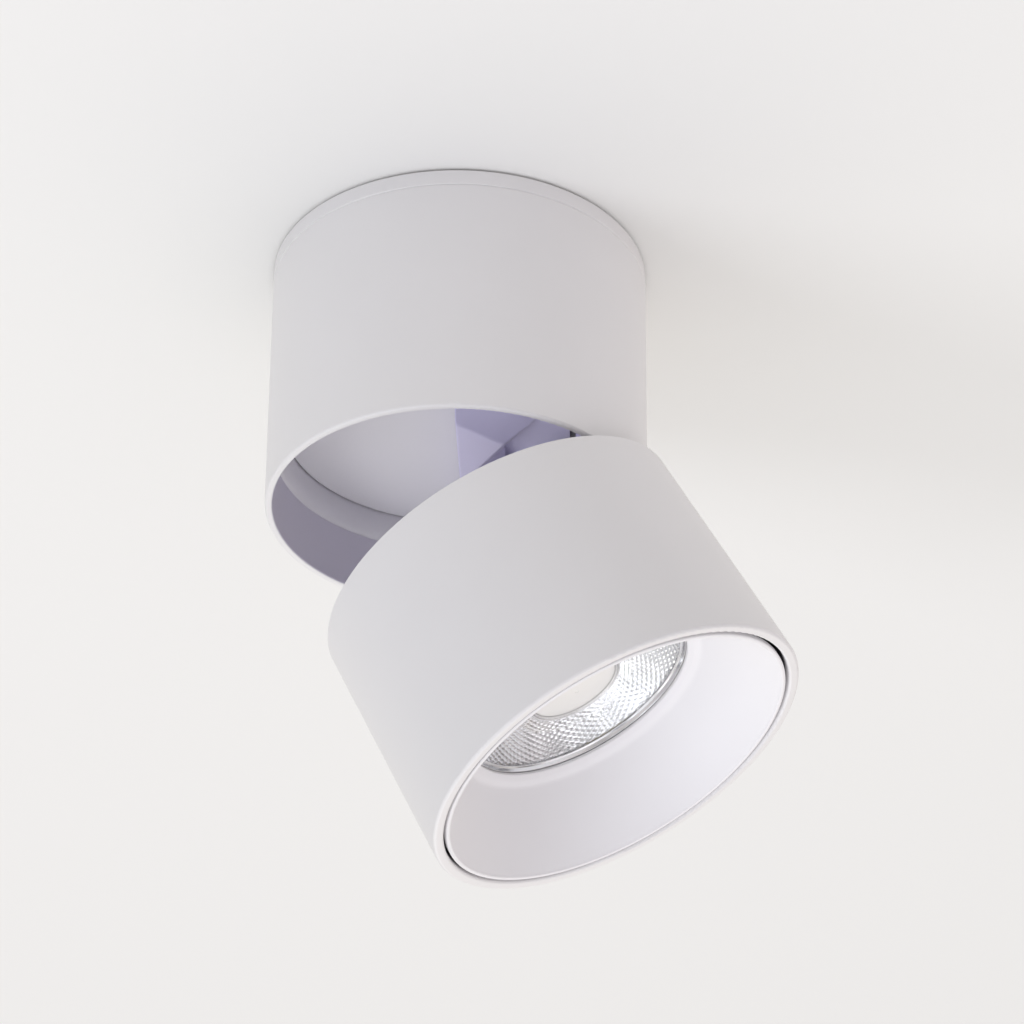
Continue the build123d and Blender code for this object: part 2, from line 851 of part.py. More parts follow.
def swivel_lead():
    run_z = face_z - lead_radius - 0.5
    end_z = hinge_z + lead_radius + 0.5
    return lead(
        [
            (0, 0, stem_top + 0.2),
            (0, 0, stem_top - 3.5),
            (lead_x, 0, stem_top - 8.5),
            (lead_x, 0, run_z),
            (hinge_x, 0, run_z),
            (hinge_x, 0, end_z),
        ],
        [5.0, 5.0, 1.6, 0.7 * (run_z - end_z)],
        lead_radius,
    )


# ---- arm and head -------------------------------------------------------------------------------

foot_length = 15.0
foot_width = 18.0
foot_thickness = 2.5
arm_x1 = hinge_x - arm_reach
arm_x0 = arm_x1 - arm_thickness
arm_middle = (arm_x0 + arm_x1) / 2
foot_z = head_z - back_recess
arm_screw_x = arm_x0 - 4.0
arm_screw_y = 5.5
arm_screw_grip = 2.0         # screws through the back plate
arm_web = 1.2
washer_inset = 0.4           # hinge washers inside the edge of the hub
foot_round = 2.0
sink_radius = shell_bore - sink_margin
post_ring = shell_bore - 4.5
post_angles = (60, 180, 300)
post_radius = 3.5
fin_radius = post_ring - post_radius - 2.0
back_screw_grip = 6.0        # screws into the posts
head_top_round = 0.4
head_inner_round = 0.6
plate_slot_width = 3.6       # slot in the back plate that the lead passes


def tilt_arm():
    half = arm_width / 2
    high = hinge_z + arm_thickness / 2
    low = hinge_z - arm_thickness / 2
    beam = block((arm_x0, hinge_x), (-half, half), (low, high))
    drop = block((arm_x0, arm_x1), (-half, half), (foot_z, high))
    arm = beam + drop
    corner = arm.edges().filter_by(Axis.Y).group_by(Axis.X)[0].sort_by(Axis.Z)[-1]
    arm = fillet(corner, arm_thickness * 0.6)
    arm += crossbar(hub_radius, (-half, half), hinge_x, hinge_z)
    foot_x0 = arm_x1 - foot_length
    foot = block((foot_x0, arm_x1), (-foot_width / 2, foot_width / 2), (foot_z, foot_z + foot_thickness))
    arm += fillet(foot.edges().filter_by(Axis.Z), foot_round)
    channel = (-arm_channel / 2, arm_channel / 2)
    inside = arm_x0 + arm_web
    past_hub = hinge_x + 2 * hub_radius
    arm -= block((inside, past_hub), channel, (low - overrun, high - arm_web))
    arm -= block((inside, arm_x1 + overrun), channel, (foot_z - overrun, high - arm_web))
    hub_x = hinge_x - hub_radius - overrun
    arm -= block((hub_x, past_hub), channel, (hinge_z - 2 * hub_radius, hinge_z + 2 * hub_radius))
    arm -= crossbar(hinge_pin_radius + pin_gap, (-half - overrun, half + overrun), hinge_x, hinge_z)
    for side in (-1, 1):
        arm -= bore(screw_radius, foot_z + foot_thickness, foot_z, arm_screw_x, side * arm_screw_y)
    return tilted(arm)


def hinge_washers():
    washers = []
    for side in (-1, 1):
        span = (side * arm_width / 2, side * (slot_half - thrust_gap))
        washer = crossbar(hub_radius - washer_inset, span, hinge_x, hinge_z)
        washer -= crossbar(hinge_pin_radius + pin_gap, (-arm_width, arm_width), hinge_x, hinge_z)
        washers.append(tilted(washer))
    return group(washers)


def arm_screws():
    top = foot_z + foot_thickness
    length = foot_thickness + back_thickness + arm_screw_grip
    screws = [pan_screw(arm_screw_x, side * arm_screw_y, top, length) for side in (-1, 1)]
    return group([tilted(screw) for screw in screws])


def head_shell():
    mouth = head_radius + head_flare
    taper = (mouth_bore - shell_bore) / head_length
    flange_in = shell_bore - flange_width
    top_bore = shell_bore + taper * flange_s
    low_bore = shell_bore + taper * sink_top_s
    shell = turned([
        (shell_bore, 0),
        (head_radius, 0),
        (mouth, -head_length),
        (mouth_bore, -head_length),
        (low_bore, -sink_top_s),
        (flange_in, -sink_top_s),
        (flange_in, -flange_s),
        (top_bore, -flange_s),
    ])
    top = shell.edges().filter_by(GeomType.CIRCLE).group_by(Axis.Z)[-1].sort_by(SortBy.RADIUS)
    shell = fillet(top[-1], head_top_round)
    low = shell.edges().filter_by(GeomType.CIRCLE).group_by(Axis.Z)[0].sort_by(SortBy.RADIUS)
    shell = fillet(low[-1], head_rim_round)
    low = shell.edges().filter_by(GeomType.CIRCLE).group_by(Axis.Z)[0].sort_by(SortBy.RADIUS)
    shell = fillet(low[0], head_inner_round)
    for angle in post_angles:
        shell -= bore(screw_radius + face_gap, -flange_s, -sink_top_s, *polar(post_ring, angle))
    return in_head(shell)


def back_plate():
    plate = disc(shell_bore - face_gap, -back_recess, -flange_s)
    hole = Pos(lead_drop_x, 0, 0) * SlotOverall(arm_thickness - arm_web, plate_slot_width)
    plate -= extrude(hole, amount=2 * flange_s, both=True)
    for side in (-1, 1):
        plate -= bore(screw_radius, -back_recess, -flange_s, arm_screw_x, side * arm_screw_y)
    for angle in post_angles:
        plate -= bore(screw_radius, -back_recess, -flange_s, *polar(post_ring, angle))
    return in_head(plate)


def back_screws():
    length = back_thickness + flange_thickness + back_screw_grip
    screws = [in_head(pan_screw(*polar(post_ring, angle), -back_recess, length)) for angle in post_angles]
    return group(screws)


def heat_sink():
    base_top = -(sink_face_s - sink_base)
    sink = disc(sink_radius, base_top, -sink_face_s)
    fin_top = -(sink_top_s + fin_room)
    count = int(fin_radius // fin_pitch)
    for index in range(-count, count + 1):
        y = index * fin_pitch
        half_length = math.sqrt(fin_radius ** 2 - y ** 2)
        edges = (y - fin_thickness / 2, y + fin_thickness / 2)
        sink += block((-half_length, half_length), edges, (fin_top, base_top - blend))
    for angle in post_angles:
        x, y = polar(post_ring, angle)
        post = disc(post_radius, -sink_top_s, base_top - blend, x, y)
        sink += post & disc(sink_radius, 0, -sink_face_s)
        sink -= disc(screw_radius, 0, -sink_top_s - back_screw_grip - 1.0, x, y)
    channel = hole_radius + 0.4
    near = min(lead_drop_x, sink_hole_x) - channel
    far = max(lead_drop_x, sink_hole_x) + channel
    sink -= block((near, far), (-channel, channel), (0, base_top + blend))
    sink -= disc(channel, 0, -sink_face_s - overrun, sink_hole_x, 0)
    for x, y in optic_screw_places() + cob_screw_places():
        sink -= disc(screw_radius, sink_screw_grip - sink_face_s + 0.4, -sink_face_s - overrun, x, y)
    return in_head(sink)


# ---- light engine -------------------------------------------------------------------------------

holder_radius = 15.4
lead_drop_x = arm_middle + 0.6
sink_hole_x = holder_radius + lead_radius + 1.0
cob_half = 10.0
pad_thickness = 0.3
cob_thickness = 1.0
emitter_radius = 7.0
emitter_height = 0.6
holder_height = 3.2
holder_recess = 11.2         # radius of the recess over the board
holder_mouth = 7.4           # small end of the cone in front of the emitter
emitter_gap = 0.6
emitter_round = 0.3
holder_chamfer = 0.6
holder_screw_inset = 2.8
board_corner = 11.0          # corners of the board and the pad are cut to this radius
sink_screw_grip = 2.6        # screws into the heat sink
cup_wall = 2.0
cup_foot = 6.0
cup_foot_height = 2.0
cup_bore = optic_radius - cup_wall - 0.2


centre_neck = centre_radius - 0.6
centre_bore = centre_radius - 0.7
lens_back = 0.8              # cream lens behind the back of the clear cover
lens_proud = 0.3
lens_round = 0.5
ring_proud = 0.6             # thin chrome ring in front of the clear cover
ring_wall = 1.6
ring_skirt = 3.0             # chrome ring behind the rim of the reflector
ring_inner_round = 0.6


def optic_screw_places():
    """Plan positions of the screws in the optic cup's foot."""
    return [polar(optic_radius + cup_foot - 2.0, angle) for angle in post_angles]


def cob_screw_places():
    """Plan positions of the two screws of the light source's holder."""
    return [polar(holder_radius - holder_screw_inset, angle) for angle in (90, 270)]


def square(high, low):
    """Square slab with cut corners on the axes."""
    slab = Rot(0, 0, 45) * block((-cob_half, cob_half), (-cob_half, cob_half), (high, low))
    return slab & disc(board_corner, high, low)


def thermal_pad():
    return in_head(square(-sink_face_s, -sink_face_s - pad_thickness))


def cob_board():
    high = -sink_face_s - pad_thickness
    return in_head(square(high, high - cob_thickness))


def cob_emitter():
    high = -sink_face_s - pad_thickness - cob_thickness
    dome = disc(emitter_radius, high, high - emitter_height)
    return in_head(fillet(dome.edges().group_by(Axis.Z)[0], emitter_round))


def cob_holder():
    high = -sink_face_s
    low = high - holder_height
    board_low = high - pad_thickness - cob_thickness
    hanging = (Align.CENTER, Align.CENTER, Align.MAX)
    holder = disc(holder_radius, high, low)
    holder = chamfer(holder.edges().group_by(Axis.Z)[0], holder_chamfer)
    holder -= disc(holder_recess, high + overrun, board_low)
    holder -= Pos(0, 0, board_low) * Cone(throat_radius, holder_mouth, holder_height, align=hanging)
    holder -= bore(emitter_radius + emitter_gap, high, low)
    for x, y in cob_screw_places():
        holder -= sink_hole(x, y, low, up=True)
    return in_head(holder)


def cob_screws():
    low = -sink_face_s - holder_height
    length = holder_height + sink_screw_grip
    return group([in_head(flush_screw(x, y, low, length, up=True)) for x, y in cob_screw_places()])


def optic_cup():
    cup_outer = cup_bore + cup_wall
    foot_low = -sink_face_s - cup_foot_height
    cup = ring(cup_outer, cup_bore, -sink_face_s, -reflector_s)
    cup += ring(cup_outer + cup_foot, cup_bore, -sink_face_s, foot_low)
    for x, y in optic_screw_places():
        cup -= sink_hole(x, y, foot_low, up=True)
    return in_head(cup)


def optic_screws():
    low = -sink_face_s - cup_foot_height
    length = cup_foot_height + sink_screw_grip
    return group([in_head(flush_screw(x, y, low, length, up=True)) for x, y in optic_screw_places()])


def reflector():
    """Deep bowl with a flat rim; its wall follows a parabola."""
    start = -(sink_face_s + holder_height)
    end = -reflector_s
    rim_inner = lens_opening - reflector_rim
    steps = 10
    inner = []
    for step in range(steps + 1):
        share = step / steps
        radius = throat_radius + (rim_inner - throat_radius) * share
        depth = (radius ** 2 - throat_radius ** 2) / (rim_inner ** 2 - throat_radius ** 2)
        inner.append((radius, start + (end - start) * depth))
    outer = [(throat_radius + reflector_wall + 1.5, start)]
    for radius, level in inner[2:-1]:
        outer.append((radius + reflector_wall, level + reflector_wall * 0.3))
    outer.append((rim_inner + reflector_wall * 0.6, end + 0.6))
    outer.append((rim_inner + reflector_wall * 0.6, end))
    rim = [(optic_radius, end), (optic_radius, -glass_s), (rim_inner, -glass_s)]
    return in_head(turned(inner[::-1] + outer + rim))


def cover_glass():
    glass = ring(optic_radius - face_gap, centre_neck, -glass_s, -glass_end_s)
    return in_head(glass)


def centre_lens():
    lens = disc(centre_bore, lens_back - glass_s, -glass_end_s - lens_proud)
    return in_head(fillet(lens.edges().group_by(Axis.Z)[0], lens_round))


def centre_ring():
    band = turned([
        (centre_bore, -glass_s),
        (centre_bore, -glass_end_s - ring_proud),
        (centre_radius, -glass_end_s - ring_proud),
        (centre_radius, -glass_end_s),
        (centre_neck, -glass_end_s),
        (centre_neck, -glass_s),
    ])
    return in_head(band)


def lens_ring():
    wall_in = optic_radius + thrust_gap
    wall_out = wall_in + ring_wall
    skirt = -(reflector_s - ring_skirt)
    band = turned([
        (wall_in, skirt),
        (wall_out, skirt),
        (wall_out, -ring_end_s),
        (lens_opening, -ring_end_s),
        (lens_opening, -glass_end_s),
        (wall_in, -glass_end_s),
    ])
    inner = band.edges().filter_by(GeomType.CIRCLE).group_by(Axis.Z)[0].sort_by(SortBy.RADIUS)[0]
    return in_head(fillet(inner, ring_inner_round))


clip_width = 5.0
clip_angles = (30, 150, 270)
baffle_rim_width = 0.7
baffle_rim_s = head_length - 0.5
baffle_collar_s = ring_end_s + 0.2
baffle_lip_s = baffle_collar_s + 2.5
baffle_skirt_s = baffle_rim_s - 1.6
baffle_slope = math.atan2(baffle_mouth - baffle_collar, baffle_rim_s - baffle_lip_s)
baffle_back = baffle_collar + baffle_wall / math.cos(baffle_slope)
baffle_back_s = baffle_lip_s - 0.4


def baffle():
    """Anti-glare cone: a flat collar on the lens ring, a soft lip, the cone and a thin rim."""
    cone = turned([
        (baffle_throat, -baffle_collar_s),
        (baffle_throat, -baffle_collar_s - 0.6),
        (baffle_throat + 1.4, -baffle_lip_s + 1.0),
        (baffle_collar, -baffle_lip_s),
        (baffle_mouth - baffle_rim_width, -baffle_rim_s + 0.3),
        (baffle_mouth - baffle_rim_width, -baffle_rim_s),
        (baffle_outer, -baffle_rim_s),
        (baffle_outer, -baffle_skirt_s),
        (baffle_back, -baffle_back_s),
        (baffle_back, -baffle_collar_s),
    ])
    return in_head(cone)


def cone_back(depth):
    """Radius of the back of the anti-glare cone at a depth."""
    share = (depth - baffle_back_s) / (baffle_skirt_s - baffle_back_s)
    return baffle_back + share * (baffle_outer - baffle_back)


def shell_inside(depth):
    """Radius of the inside of the head shell at a depth."""
    return shell_bore + (mouth_bore - shell_bore) * depth / head_length


def baffle_clips():
    """Leaf springs: a foot on the back of the cone and a tongue against the shell."""
    foot_s = baffle_skirt_s - 11.0
    fold_s = baffle_skirt_s - 2.5
    crest_s = baffle_skirt_s - 6.5
    tip_s = crest_s - 6.0
    leaf = 0.5
    off = 0.1
    outline = Polyline(
        [
            (cone_back(foot_s) + off, 0, -foot_s),
            (cone_back(fold_s) + off, 0, -fold_s),
            (shell_inside(crest_s) - off, 0, -crest_s),
            (shell_inside(tip_s) - 1.6, 0, -tip_s),
            (shell_inside(tip_s) - 1.6 - leaf, 0, -tip_s),
            (shell_inside(crest_s) - off - leaf, 0, -crest_s),
            (cone_back(fold_s) + off, 0, -fold_s + 2 * leaf),
            (cone_back(foot_s) + off, 0, -foot_s + leaf),
        ],
        close=True,
    )
    clip = extrude(make_face(outline), amount=clip_width / 2, both=True)
    return group([in_head(Rot(0, 0, angle) * clip) for angle in clip_angles])


def head_lead():
    """Lead from the hinge, along the arm and down to the light source."""
    start = 1.7
    end_x = holder_radius
    level = head_z - sink_face_s - 1.4
    fin_high = head_z - sink_top_s - 1.0
    fin_low = head_z - sink_face_s + sink_base + 1.0
    tube = lead(
        [
            (hinge_x - start, 0, hinge_z),
            (lead_drop_x, 0, hinge_z),
            (lead_drop_x, 0, fin_high),
            (sink_hole_x, 0, fin_low),
            (sink_hole_x, 0, level),
            (end_x, 0, level),
        ],
        [7.0, 6.0, 6.0, 1.6],
        lead_radius,
    )
    return tilted(tube)


# ---- build --------------------------------------------------------------------------------------

NODES = [
    mounting_plate, cable_grommet, earth_terminal, shoulder_screws, housing_shell, chassis_plate,
    chassis_screws,
    driver_case, driver_lid, driver_board, driver_transformer, driver_capacitors, driver_choke,
    driver_screws, terminal_block, terminal_screws, terminal_fixing_screw, cord_clamp,
    cord_clamp_screws, bearing_plate, bearing_screws, cavity_ring, input_leads, output_lead,
    turntable, swivel_stem, thrust_washer, friction_washer, wave_washer, stem_nut, stop_pin,
    hinge_bracket, bracket_screws, hinge_pins, swivel_lead,
    tilt_arm, hinge_washers, arm_screws, head_shell, back_plate, back_screws, heat_sink,
    thermal_pad, cob_board, cob_emitter, cob_holder, cob_screws, optic_cup, optic_screws, reflector,
    cover_glass, centre_lens, centre_ring, lens_ring, baffle, baffle_clips, head_lead,
]

os.makedirs("parts", exist_ok=True)
for make in NODES:
    save(make.__name__, make())
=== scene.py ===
import json
import math

import bmesh
import bpy
from mathutils import Matrix, Vector


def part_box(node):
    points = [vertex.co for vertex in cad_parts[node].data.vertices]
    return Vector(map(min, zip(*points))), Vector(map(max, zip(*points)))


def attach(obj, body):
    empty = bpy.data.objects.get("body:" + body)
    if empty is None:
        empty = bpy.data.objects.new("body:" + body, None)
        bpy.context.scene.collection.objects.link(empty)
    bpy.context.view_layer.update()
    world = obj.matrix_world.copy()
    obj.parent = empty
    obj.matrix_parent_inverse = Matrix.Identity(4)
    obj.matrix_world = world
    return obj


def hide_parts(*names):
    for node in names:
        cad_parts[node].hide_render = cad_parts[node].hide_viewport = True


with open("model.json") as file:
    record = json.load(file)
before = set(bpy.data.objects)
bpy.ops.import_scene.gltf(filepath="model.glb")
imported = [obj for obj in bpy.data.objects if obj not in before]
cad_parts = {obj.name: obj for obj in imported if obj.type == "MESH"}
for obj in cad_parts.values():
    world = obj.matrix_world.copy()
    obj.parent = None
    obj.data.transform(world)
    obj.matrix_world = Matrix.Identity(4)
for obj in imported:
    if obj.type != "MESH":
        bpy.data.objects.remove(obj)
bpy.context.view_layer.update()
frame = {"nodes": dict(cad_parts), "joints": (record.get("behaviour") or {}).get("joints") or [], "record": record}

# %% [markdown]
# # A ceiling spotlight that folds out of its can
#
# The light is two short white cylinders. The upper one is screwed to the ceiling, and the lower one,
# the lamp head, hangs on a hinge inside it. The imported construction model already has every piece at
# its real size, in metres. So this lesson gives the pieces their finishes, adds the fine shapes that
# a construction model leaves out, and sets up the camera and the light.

nodes = frame["nodes"]
print("pieces in the construction model:", len(nodes))

MM = 0.001

# %% [markdown]
# The head turns about a hinge, and the model stores it at rest with the head partly open. Most head
# pieces are round about the head's own axis. They could be drawn in their leaning place, but it is
# easier to draw them upright about the Z axis and carry them over with one matrix. The hinge joint's
# limits say how far the head is from shut, and that gives the matrix.

# %% Find the head's own axis
hinge = next(joint for joint in frame["joints"] if joint["name"] == "head_tilt")
hinge_point = Vector(hinge["pos_m"])
hinge_axis = Vector(hinge["axis"])
rest_angle = math.radians(-min(hinge["range_deg"]))


def about_hinge(angle):
    """Matrix that turns things about the hinge by an angle."""
    there = Matrix.Translation(hinge_point)
    return there @ Matrix.Rotation(angle, 4, hinge_axis) @ there.inverted()


open_head = about_hinge(rest_angle)
shut_head = open_head.inverted()
shut_corners = [shut_head @ v.co for v in nodes["head_shell"].data.vertices]
head_top_z = max(corner.z for corner in shut_corners)
head_place = open_head @ Matrix.Translation((0, 0, head_top_z))
to_head = head_place.inverted()
print("rest tilt in degrees:", round(math.degrees(rest_angle), 2))


def head_span(node):
    """Largest radius, and highest and lowest level, of a node measured from the head's own axis."""
    points = [to_head @ v.co for v in nodes[node].data.vertices]
    radius = max(math.hypot(p.x, p.y) for p in points)
    return radius, max(p.z for p in points), min(p.z for p in points)

# %% [markdown]
# The photo was taken from below and in front with a long lens, so the picture has almost no
# perspective. The camera could be moved by hand until the picture looks right. But a circle that is
# seen at an angle is an ellipse, and how flat it is tells that angle. So the camera was worked out
# from the ellipses of the can, the head and the cone, and only the result is written here.

# %% Camera
CAMERA_PLACE = Vector((0.055385, -1.033540, -0.724521))
CAMERA_RIGHT = Vector((0.999350, 0.035492, 0.006294))
CAMERA_DOWN = Vector((-0.013574, 0.532302, -0.846446))
CAMERA_LENS = 164.67
CAMERA_SENSOR = 36.0
NEAREST_SEEN = 0.05
FARTHEST_SEEN = 50.0


def in_scene(name, data):
    """Makes an object of a camera, a mesh or a lamp, and puts it in the scene."""
    made = bpy.data.objects.new(name, data)
    bpy.context.scene.collection.objects.link(made)
    return made


camera_data = bpy.data.cameras.new("camera")
camera_data.lens = CAMERA_LENS
camera_data.sensor_width = CAMERA_SENSOR
camera_data.clip_start = NEAREST_SEEN
camera_data.clip_end = FARTHEST_SEEN
camera = in_scene("camera", camera_data)
camera_up = -CAMERA_DOWN.normalized()
camera_right = (CAMERA_RIGHT - CAMERA_RIGHT.dot(camera_up) * camera_up).normalized()
camera_back = camera_right.cross(camera_up)
camera_turn = Matrix((camera_right, camera_up, camera_back)).transposed()
camera.matrix_world = Matrix.Translation(CAMERA_PLACE) @ camera_turn.to_4x4()
bpy.context.scene.camera = camera
print("camera to the ceiling point:", round(CAMERA_PLACE.length, 3), "m")

# %% [markdown]
# ## Finishes
#
# Each finish is a Principled shader with some fine structure on it. A picture of a surface could be
# wrapped round the pieces, but patterns made by nodes need no unwrapping and stay sharp from near.
# What several finishes share is a node group, built once: the orange peel of sprayed powder, the
# lines that a tool leaves in metal, the pits of a mould, and a mask for the inside of a can. Three
# helpers make the nodes, so that each group below reads like a list of what it is made of.

# %% Helpers for shader nodes
def socket(tree, name, way, kind="NodeSocketFloat", value=None):
    """Adds a named input or output to a node group."""
    made = tree.interface.new_socket(name=name, in_out=way, socket_type=kind)
    if value is not None:
        made.default_value = value
    return made


def add(tree, kind, inputs=None, **settings):
    """Adds a node. An input that is given a socket is linked to it, and any other input is set."""
    node = tree.nodes.new(kind)
    for name, value in settings.items():
        setattr(node, name, value)
    for name, source in (inputs or {}).items():
        if isinstance(source, bpy.types.NodeSocket):
            tree.links.new(source, node.inputs[name])
        else:
            node.inputs[name].default_value = source
    return node


def group(name, inputs, outputs):
    """Makes an empty node group and gives its tree, its input node and its output node."""
    tree = bpy.data.node_groups.new(name, "ShaderNodeTree")
    for label, kind, value in inputs:
        socket(tree, label, "INPUT", kind, value)
    for label, kind in outputs:
        socket(tree, label, "OUTPUT", kind)
    return tree, tree.nodes.new("NodeGroupInput"), tree.nodes.new("NodeGroupOutput")


FLOAT, COLOUR, VECTOR = "NodeSocketFloat", "NodeSocketColor", "NodeSocketVector"
print("kinds of socket:", FLOAT, COLOUR, VECTOR)

# %% [markdown]
# The groups for coat, metal and plastic end alike, with a colour and a roughness that a small shift
# changes, so one helper writes that end. Materials start and end alike too: Blender gives each new
# one a shader of its own, so the tree is emptied first, and last of all one shader becomes the surface.

# %% Helpers for finishes
def give_out(tree, come, go, shift, height, gloss=1.0):
    """Ends a group: a small shift changes its colour and roughness, and its height goes out too."""
    gain = add(tree, "ShaderNodeMath", {0: shift, 1: 1.0}, operation="ADD")
    colour = add(tree, "ShaderNodeVectorMath", {
        0: come.outputs["Colour"], "Scale": gain.outputs[0]}, operation="SCALE")
    rough = add(tree, "ShaderNodeMath", {0: shift, 1: gloss, 2: come.outputs["Roughness"]},
                operation="MULTIPLY_ADD")
    tree.links.new(colour.outputs[0], go.inputs["Colour"])
    tree.links.new(rough.outputs[0], go.inputs["Roughness"])
    tree.links.new(height, go.inputs["Height"])


def blank_material(name):
    """A new material with no nodes in it yet, and its tree."""
    made = bpy.data.materials.new(name)
    made.use_nodes = True
    made.node_tree.nodes.clear()
    return made, made.node_tree


def show(tree, shader):
    """Makes a shader the surface of a material."""
    out = add(tree, "ShaderNodeOutputMaterial")
    tree.links.new(shader, out.inputs["Surface"])


print("helpers made: give_out, blank_material, show")

# %% [markdown]
# Powder coat is plastic powder that is sprayed on dry and melted in an oven. It flows into a faint
# orange peel with a finer grain on it. Two noises make that as a bump, because it is far too fine to
# build. A third, broad noise changes the tone and the gloss by a hair, as on any real coat.

# %% Node group: powder coat
GRAIN_FINENESS = 3.1
GRAIN_HEIGHT = 0.35
GLOSS_CHANGE = 1.6


def powder_coat_group():
    """Orange peel of fused powder, with a finer grain on it and a faint tone change."""
    tree, come, go = group(
        "powder_coat",
        [("Colour", COLOUR, (0.8, 0.8, 0.8, 1)), ("Peel size", FLOAT, 900.0),
         ("Roughness", FLOAT, 0.4), ("Tone change", FLOAT, 0.03)],
        [("Colour", COLOUR), ("Roughness", FLOAT), ("Height", FLOAT)],
    )
    place = add(tree, "ShaderNodeTexCoord")
    peel = add(tree, "ShaderNodeTexNoise", {
        "Vector": place.outputs["Object"], "Scale": come.outputs["Peel size"], "Detail": 2.0})
    fine_scale = add(tree, "ShaderNodeMath", {0: come.outputs["Peel size"], 1: GRAIN_FINENESS},
                     operation="MULTIPLY")
    fine = add(tree, "ShaderNodeTexNoise", {
        "Vector": place.outputs["Object"], "Scale": fine_scale.outputs[0], "Detail": 1.0})
    height = add(tree, "ShaderNodeMath", {
        0: fine.outputs["Fac"], 1: GRAIN_HEIGHT, 2: peel.outputs["Fac"]}, operation="MULTIPLY_ADD")
    broad = add(tree, "ShaderNodeTexNoise", {
        "Vector": place.outputs["Object"], "Scale": 22.0, "Detail": 3.0})
    tone = add(tree, "ShaderNodeMapRange", {
        "Value": broad.outputs["Fac"], "From Min": 0.3, "From Max": 0.7, "To Min": -0.5, "To Max": 0.5})
    shift = add(tree, "ShaderNodeMath", {0: tone.outputs[0], 1: come.outputs["Tone change"]},
                operation="MULTIPLY")
    give_out(tree, come, go, shift.outputs[0], height.outputs[0], GLOSS_CHANGE)
    return tree


POWDER_COAT = powder_coat_group()
print("made the group", POWDER_COAT.name)

# %% [markdown]
# Turned, rolled and plated metal keeps fine lines from the tool. They could be cut into the mesh, but
# a noise that is stretched along them is lighter and fades well with distance. Where the stretch is
# the same all ways, it turns into the fine grain of a plated or a cast piece. A second noise adds
# faint stains.

# %% Node group: machined lines
def machined_group():
    """Noise stretched into fine lines, as a lathe or a rolling mill leaves them, and stains."""
    tree, come, go = group(
        "machined_lines",
        [("Colour", COLOUR, (0.6, 0.6, 0.6, 1)), ("Lines", VECTOR, (60.0, 2000.0, 2000.0)),
         ("Roughness", FLOAT, 0.3), ("Contrast", FLOAT, 0.1)],
        [("Colour", COLOUR), ("Roughness", FLOAT), ("Height", FLOAT)],
    )
    place = add(tree, "ShaderNodeTexCoord")
    stretch = add(tree, "ShaderNodeVectorMath", {
        0: place.outputs["Object"], 1: come.outputs["Lines"]}, operation="MULTIPLY")
    lines = add(tree, "ShaderNodeTexNoise", {
        "Vector": stretch.outputs[0], "Scale": 1.0, "Detail": 4.0, "Roughness": 0.7})
    stain = add(tree, "ShaderNodeTexNoise", {
        "Vector": place.outputs["Object"], "Scale": 90.0, "Detail": 3.0})
    both = add(tree, "ShaderNodeMath", {0: lines.outputs["Fac"], 1: stain.outputs["Fac"]},
               operation="ADD")
    even = add(tree, "ShaderNodeMath", {0: both.outputs[0], 1: 1.0}, operation="SUBTRACT")
    shift = add(tree, "ShaderNodeMath", {0: even.outputs[0], 1: come.outputs["Contrast"]},
                operation="MULTIPLY")
    give_out(tree, come, go, shift.outputs[0], lines.outputs["Fac"])
    return tree


MACHINED = machined_group()
print("made the group", MACHINED.name)

# %% [markdown]
# Moulded plastic copies the fine pits that sparks leave in a steel mould. A Voronoi pattern has that
# look, with one pit in each cell, and a noise that is bent a little gives the faint marks of flow.

# %% Node group: moulded plastic
def moulded_group():
    """Spark-eroded mould texture with a faint flow mark."""
    tree, come, go = group(
        "moulded_plastic",
        [("Colour", COLOUR, (0.5, 0.5, 0.5, 1)), ("Pit size", FLOAT, 2500.0),
         ("Roughness", FLOAT, 0.5), ("Tone change", FLOAT, 0.05)],
        [("Colour", COLOUR), ("Roughness", FLOAT), ("Height", FLOAT)],
    )
    place = add(tree, "ShaderNodeTexCoord")
    pits = add(tree, "ShaderNodeTexVoronoi", {
        "Vector": place.outputs["Object"], "Scale": come.outputs["Pit size"]})
    flow = add(tree, "ShaderNodeTexNoise", {
        "Vector": place.outputs["Object"], "Scale": 120.0, "Detail": 2.0, "Distortion": 0.8})
    even = add(tree, "ShaderNodeMath", {0: flow.outputs["Fac"], 1: 0.5}, operation="SUBTRACT")
    shift = add(tree, "ShaderNodeMath", {0: even.outputs[0], 1: come.outputs["Tone change"]},
                operation="MULTIPLY")
    give_out(tree, come, go, shift.outputs[0], pits.outputs["Distance"])
    return tree


MOULDED = moulded_group()
print("made the group", MOULDED.name)

# %% [markdown]
# A shell has one coat, but its inside lies in shade, and that shade is painted into the colour as a greyer inside.
# The faces could be picked by hand and given a second material. A mask that measures how far a point is from the
# shell's own axis does the same for any shell, with a soft border at the rim.

# %% Node group: inside of a can
MASK_BLUR = 0.1 * MM
RIM_BLUR = 1.2 * MM


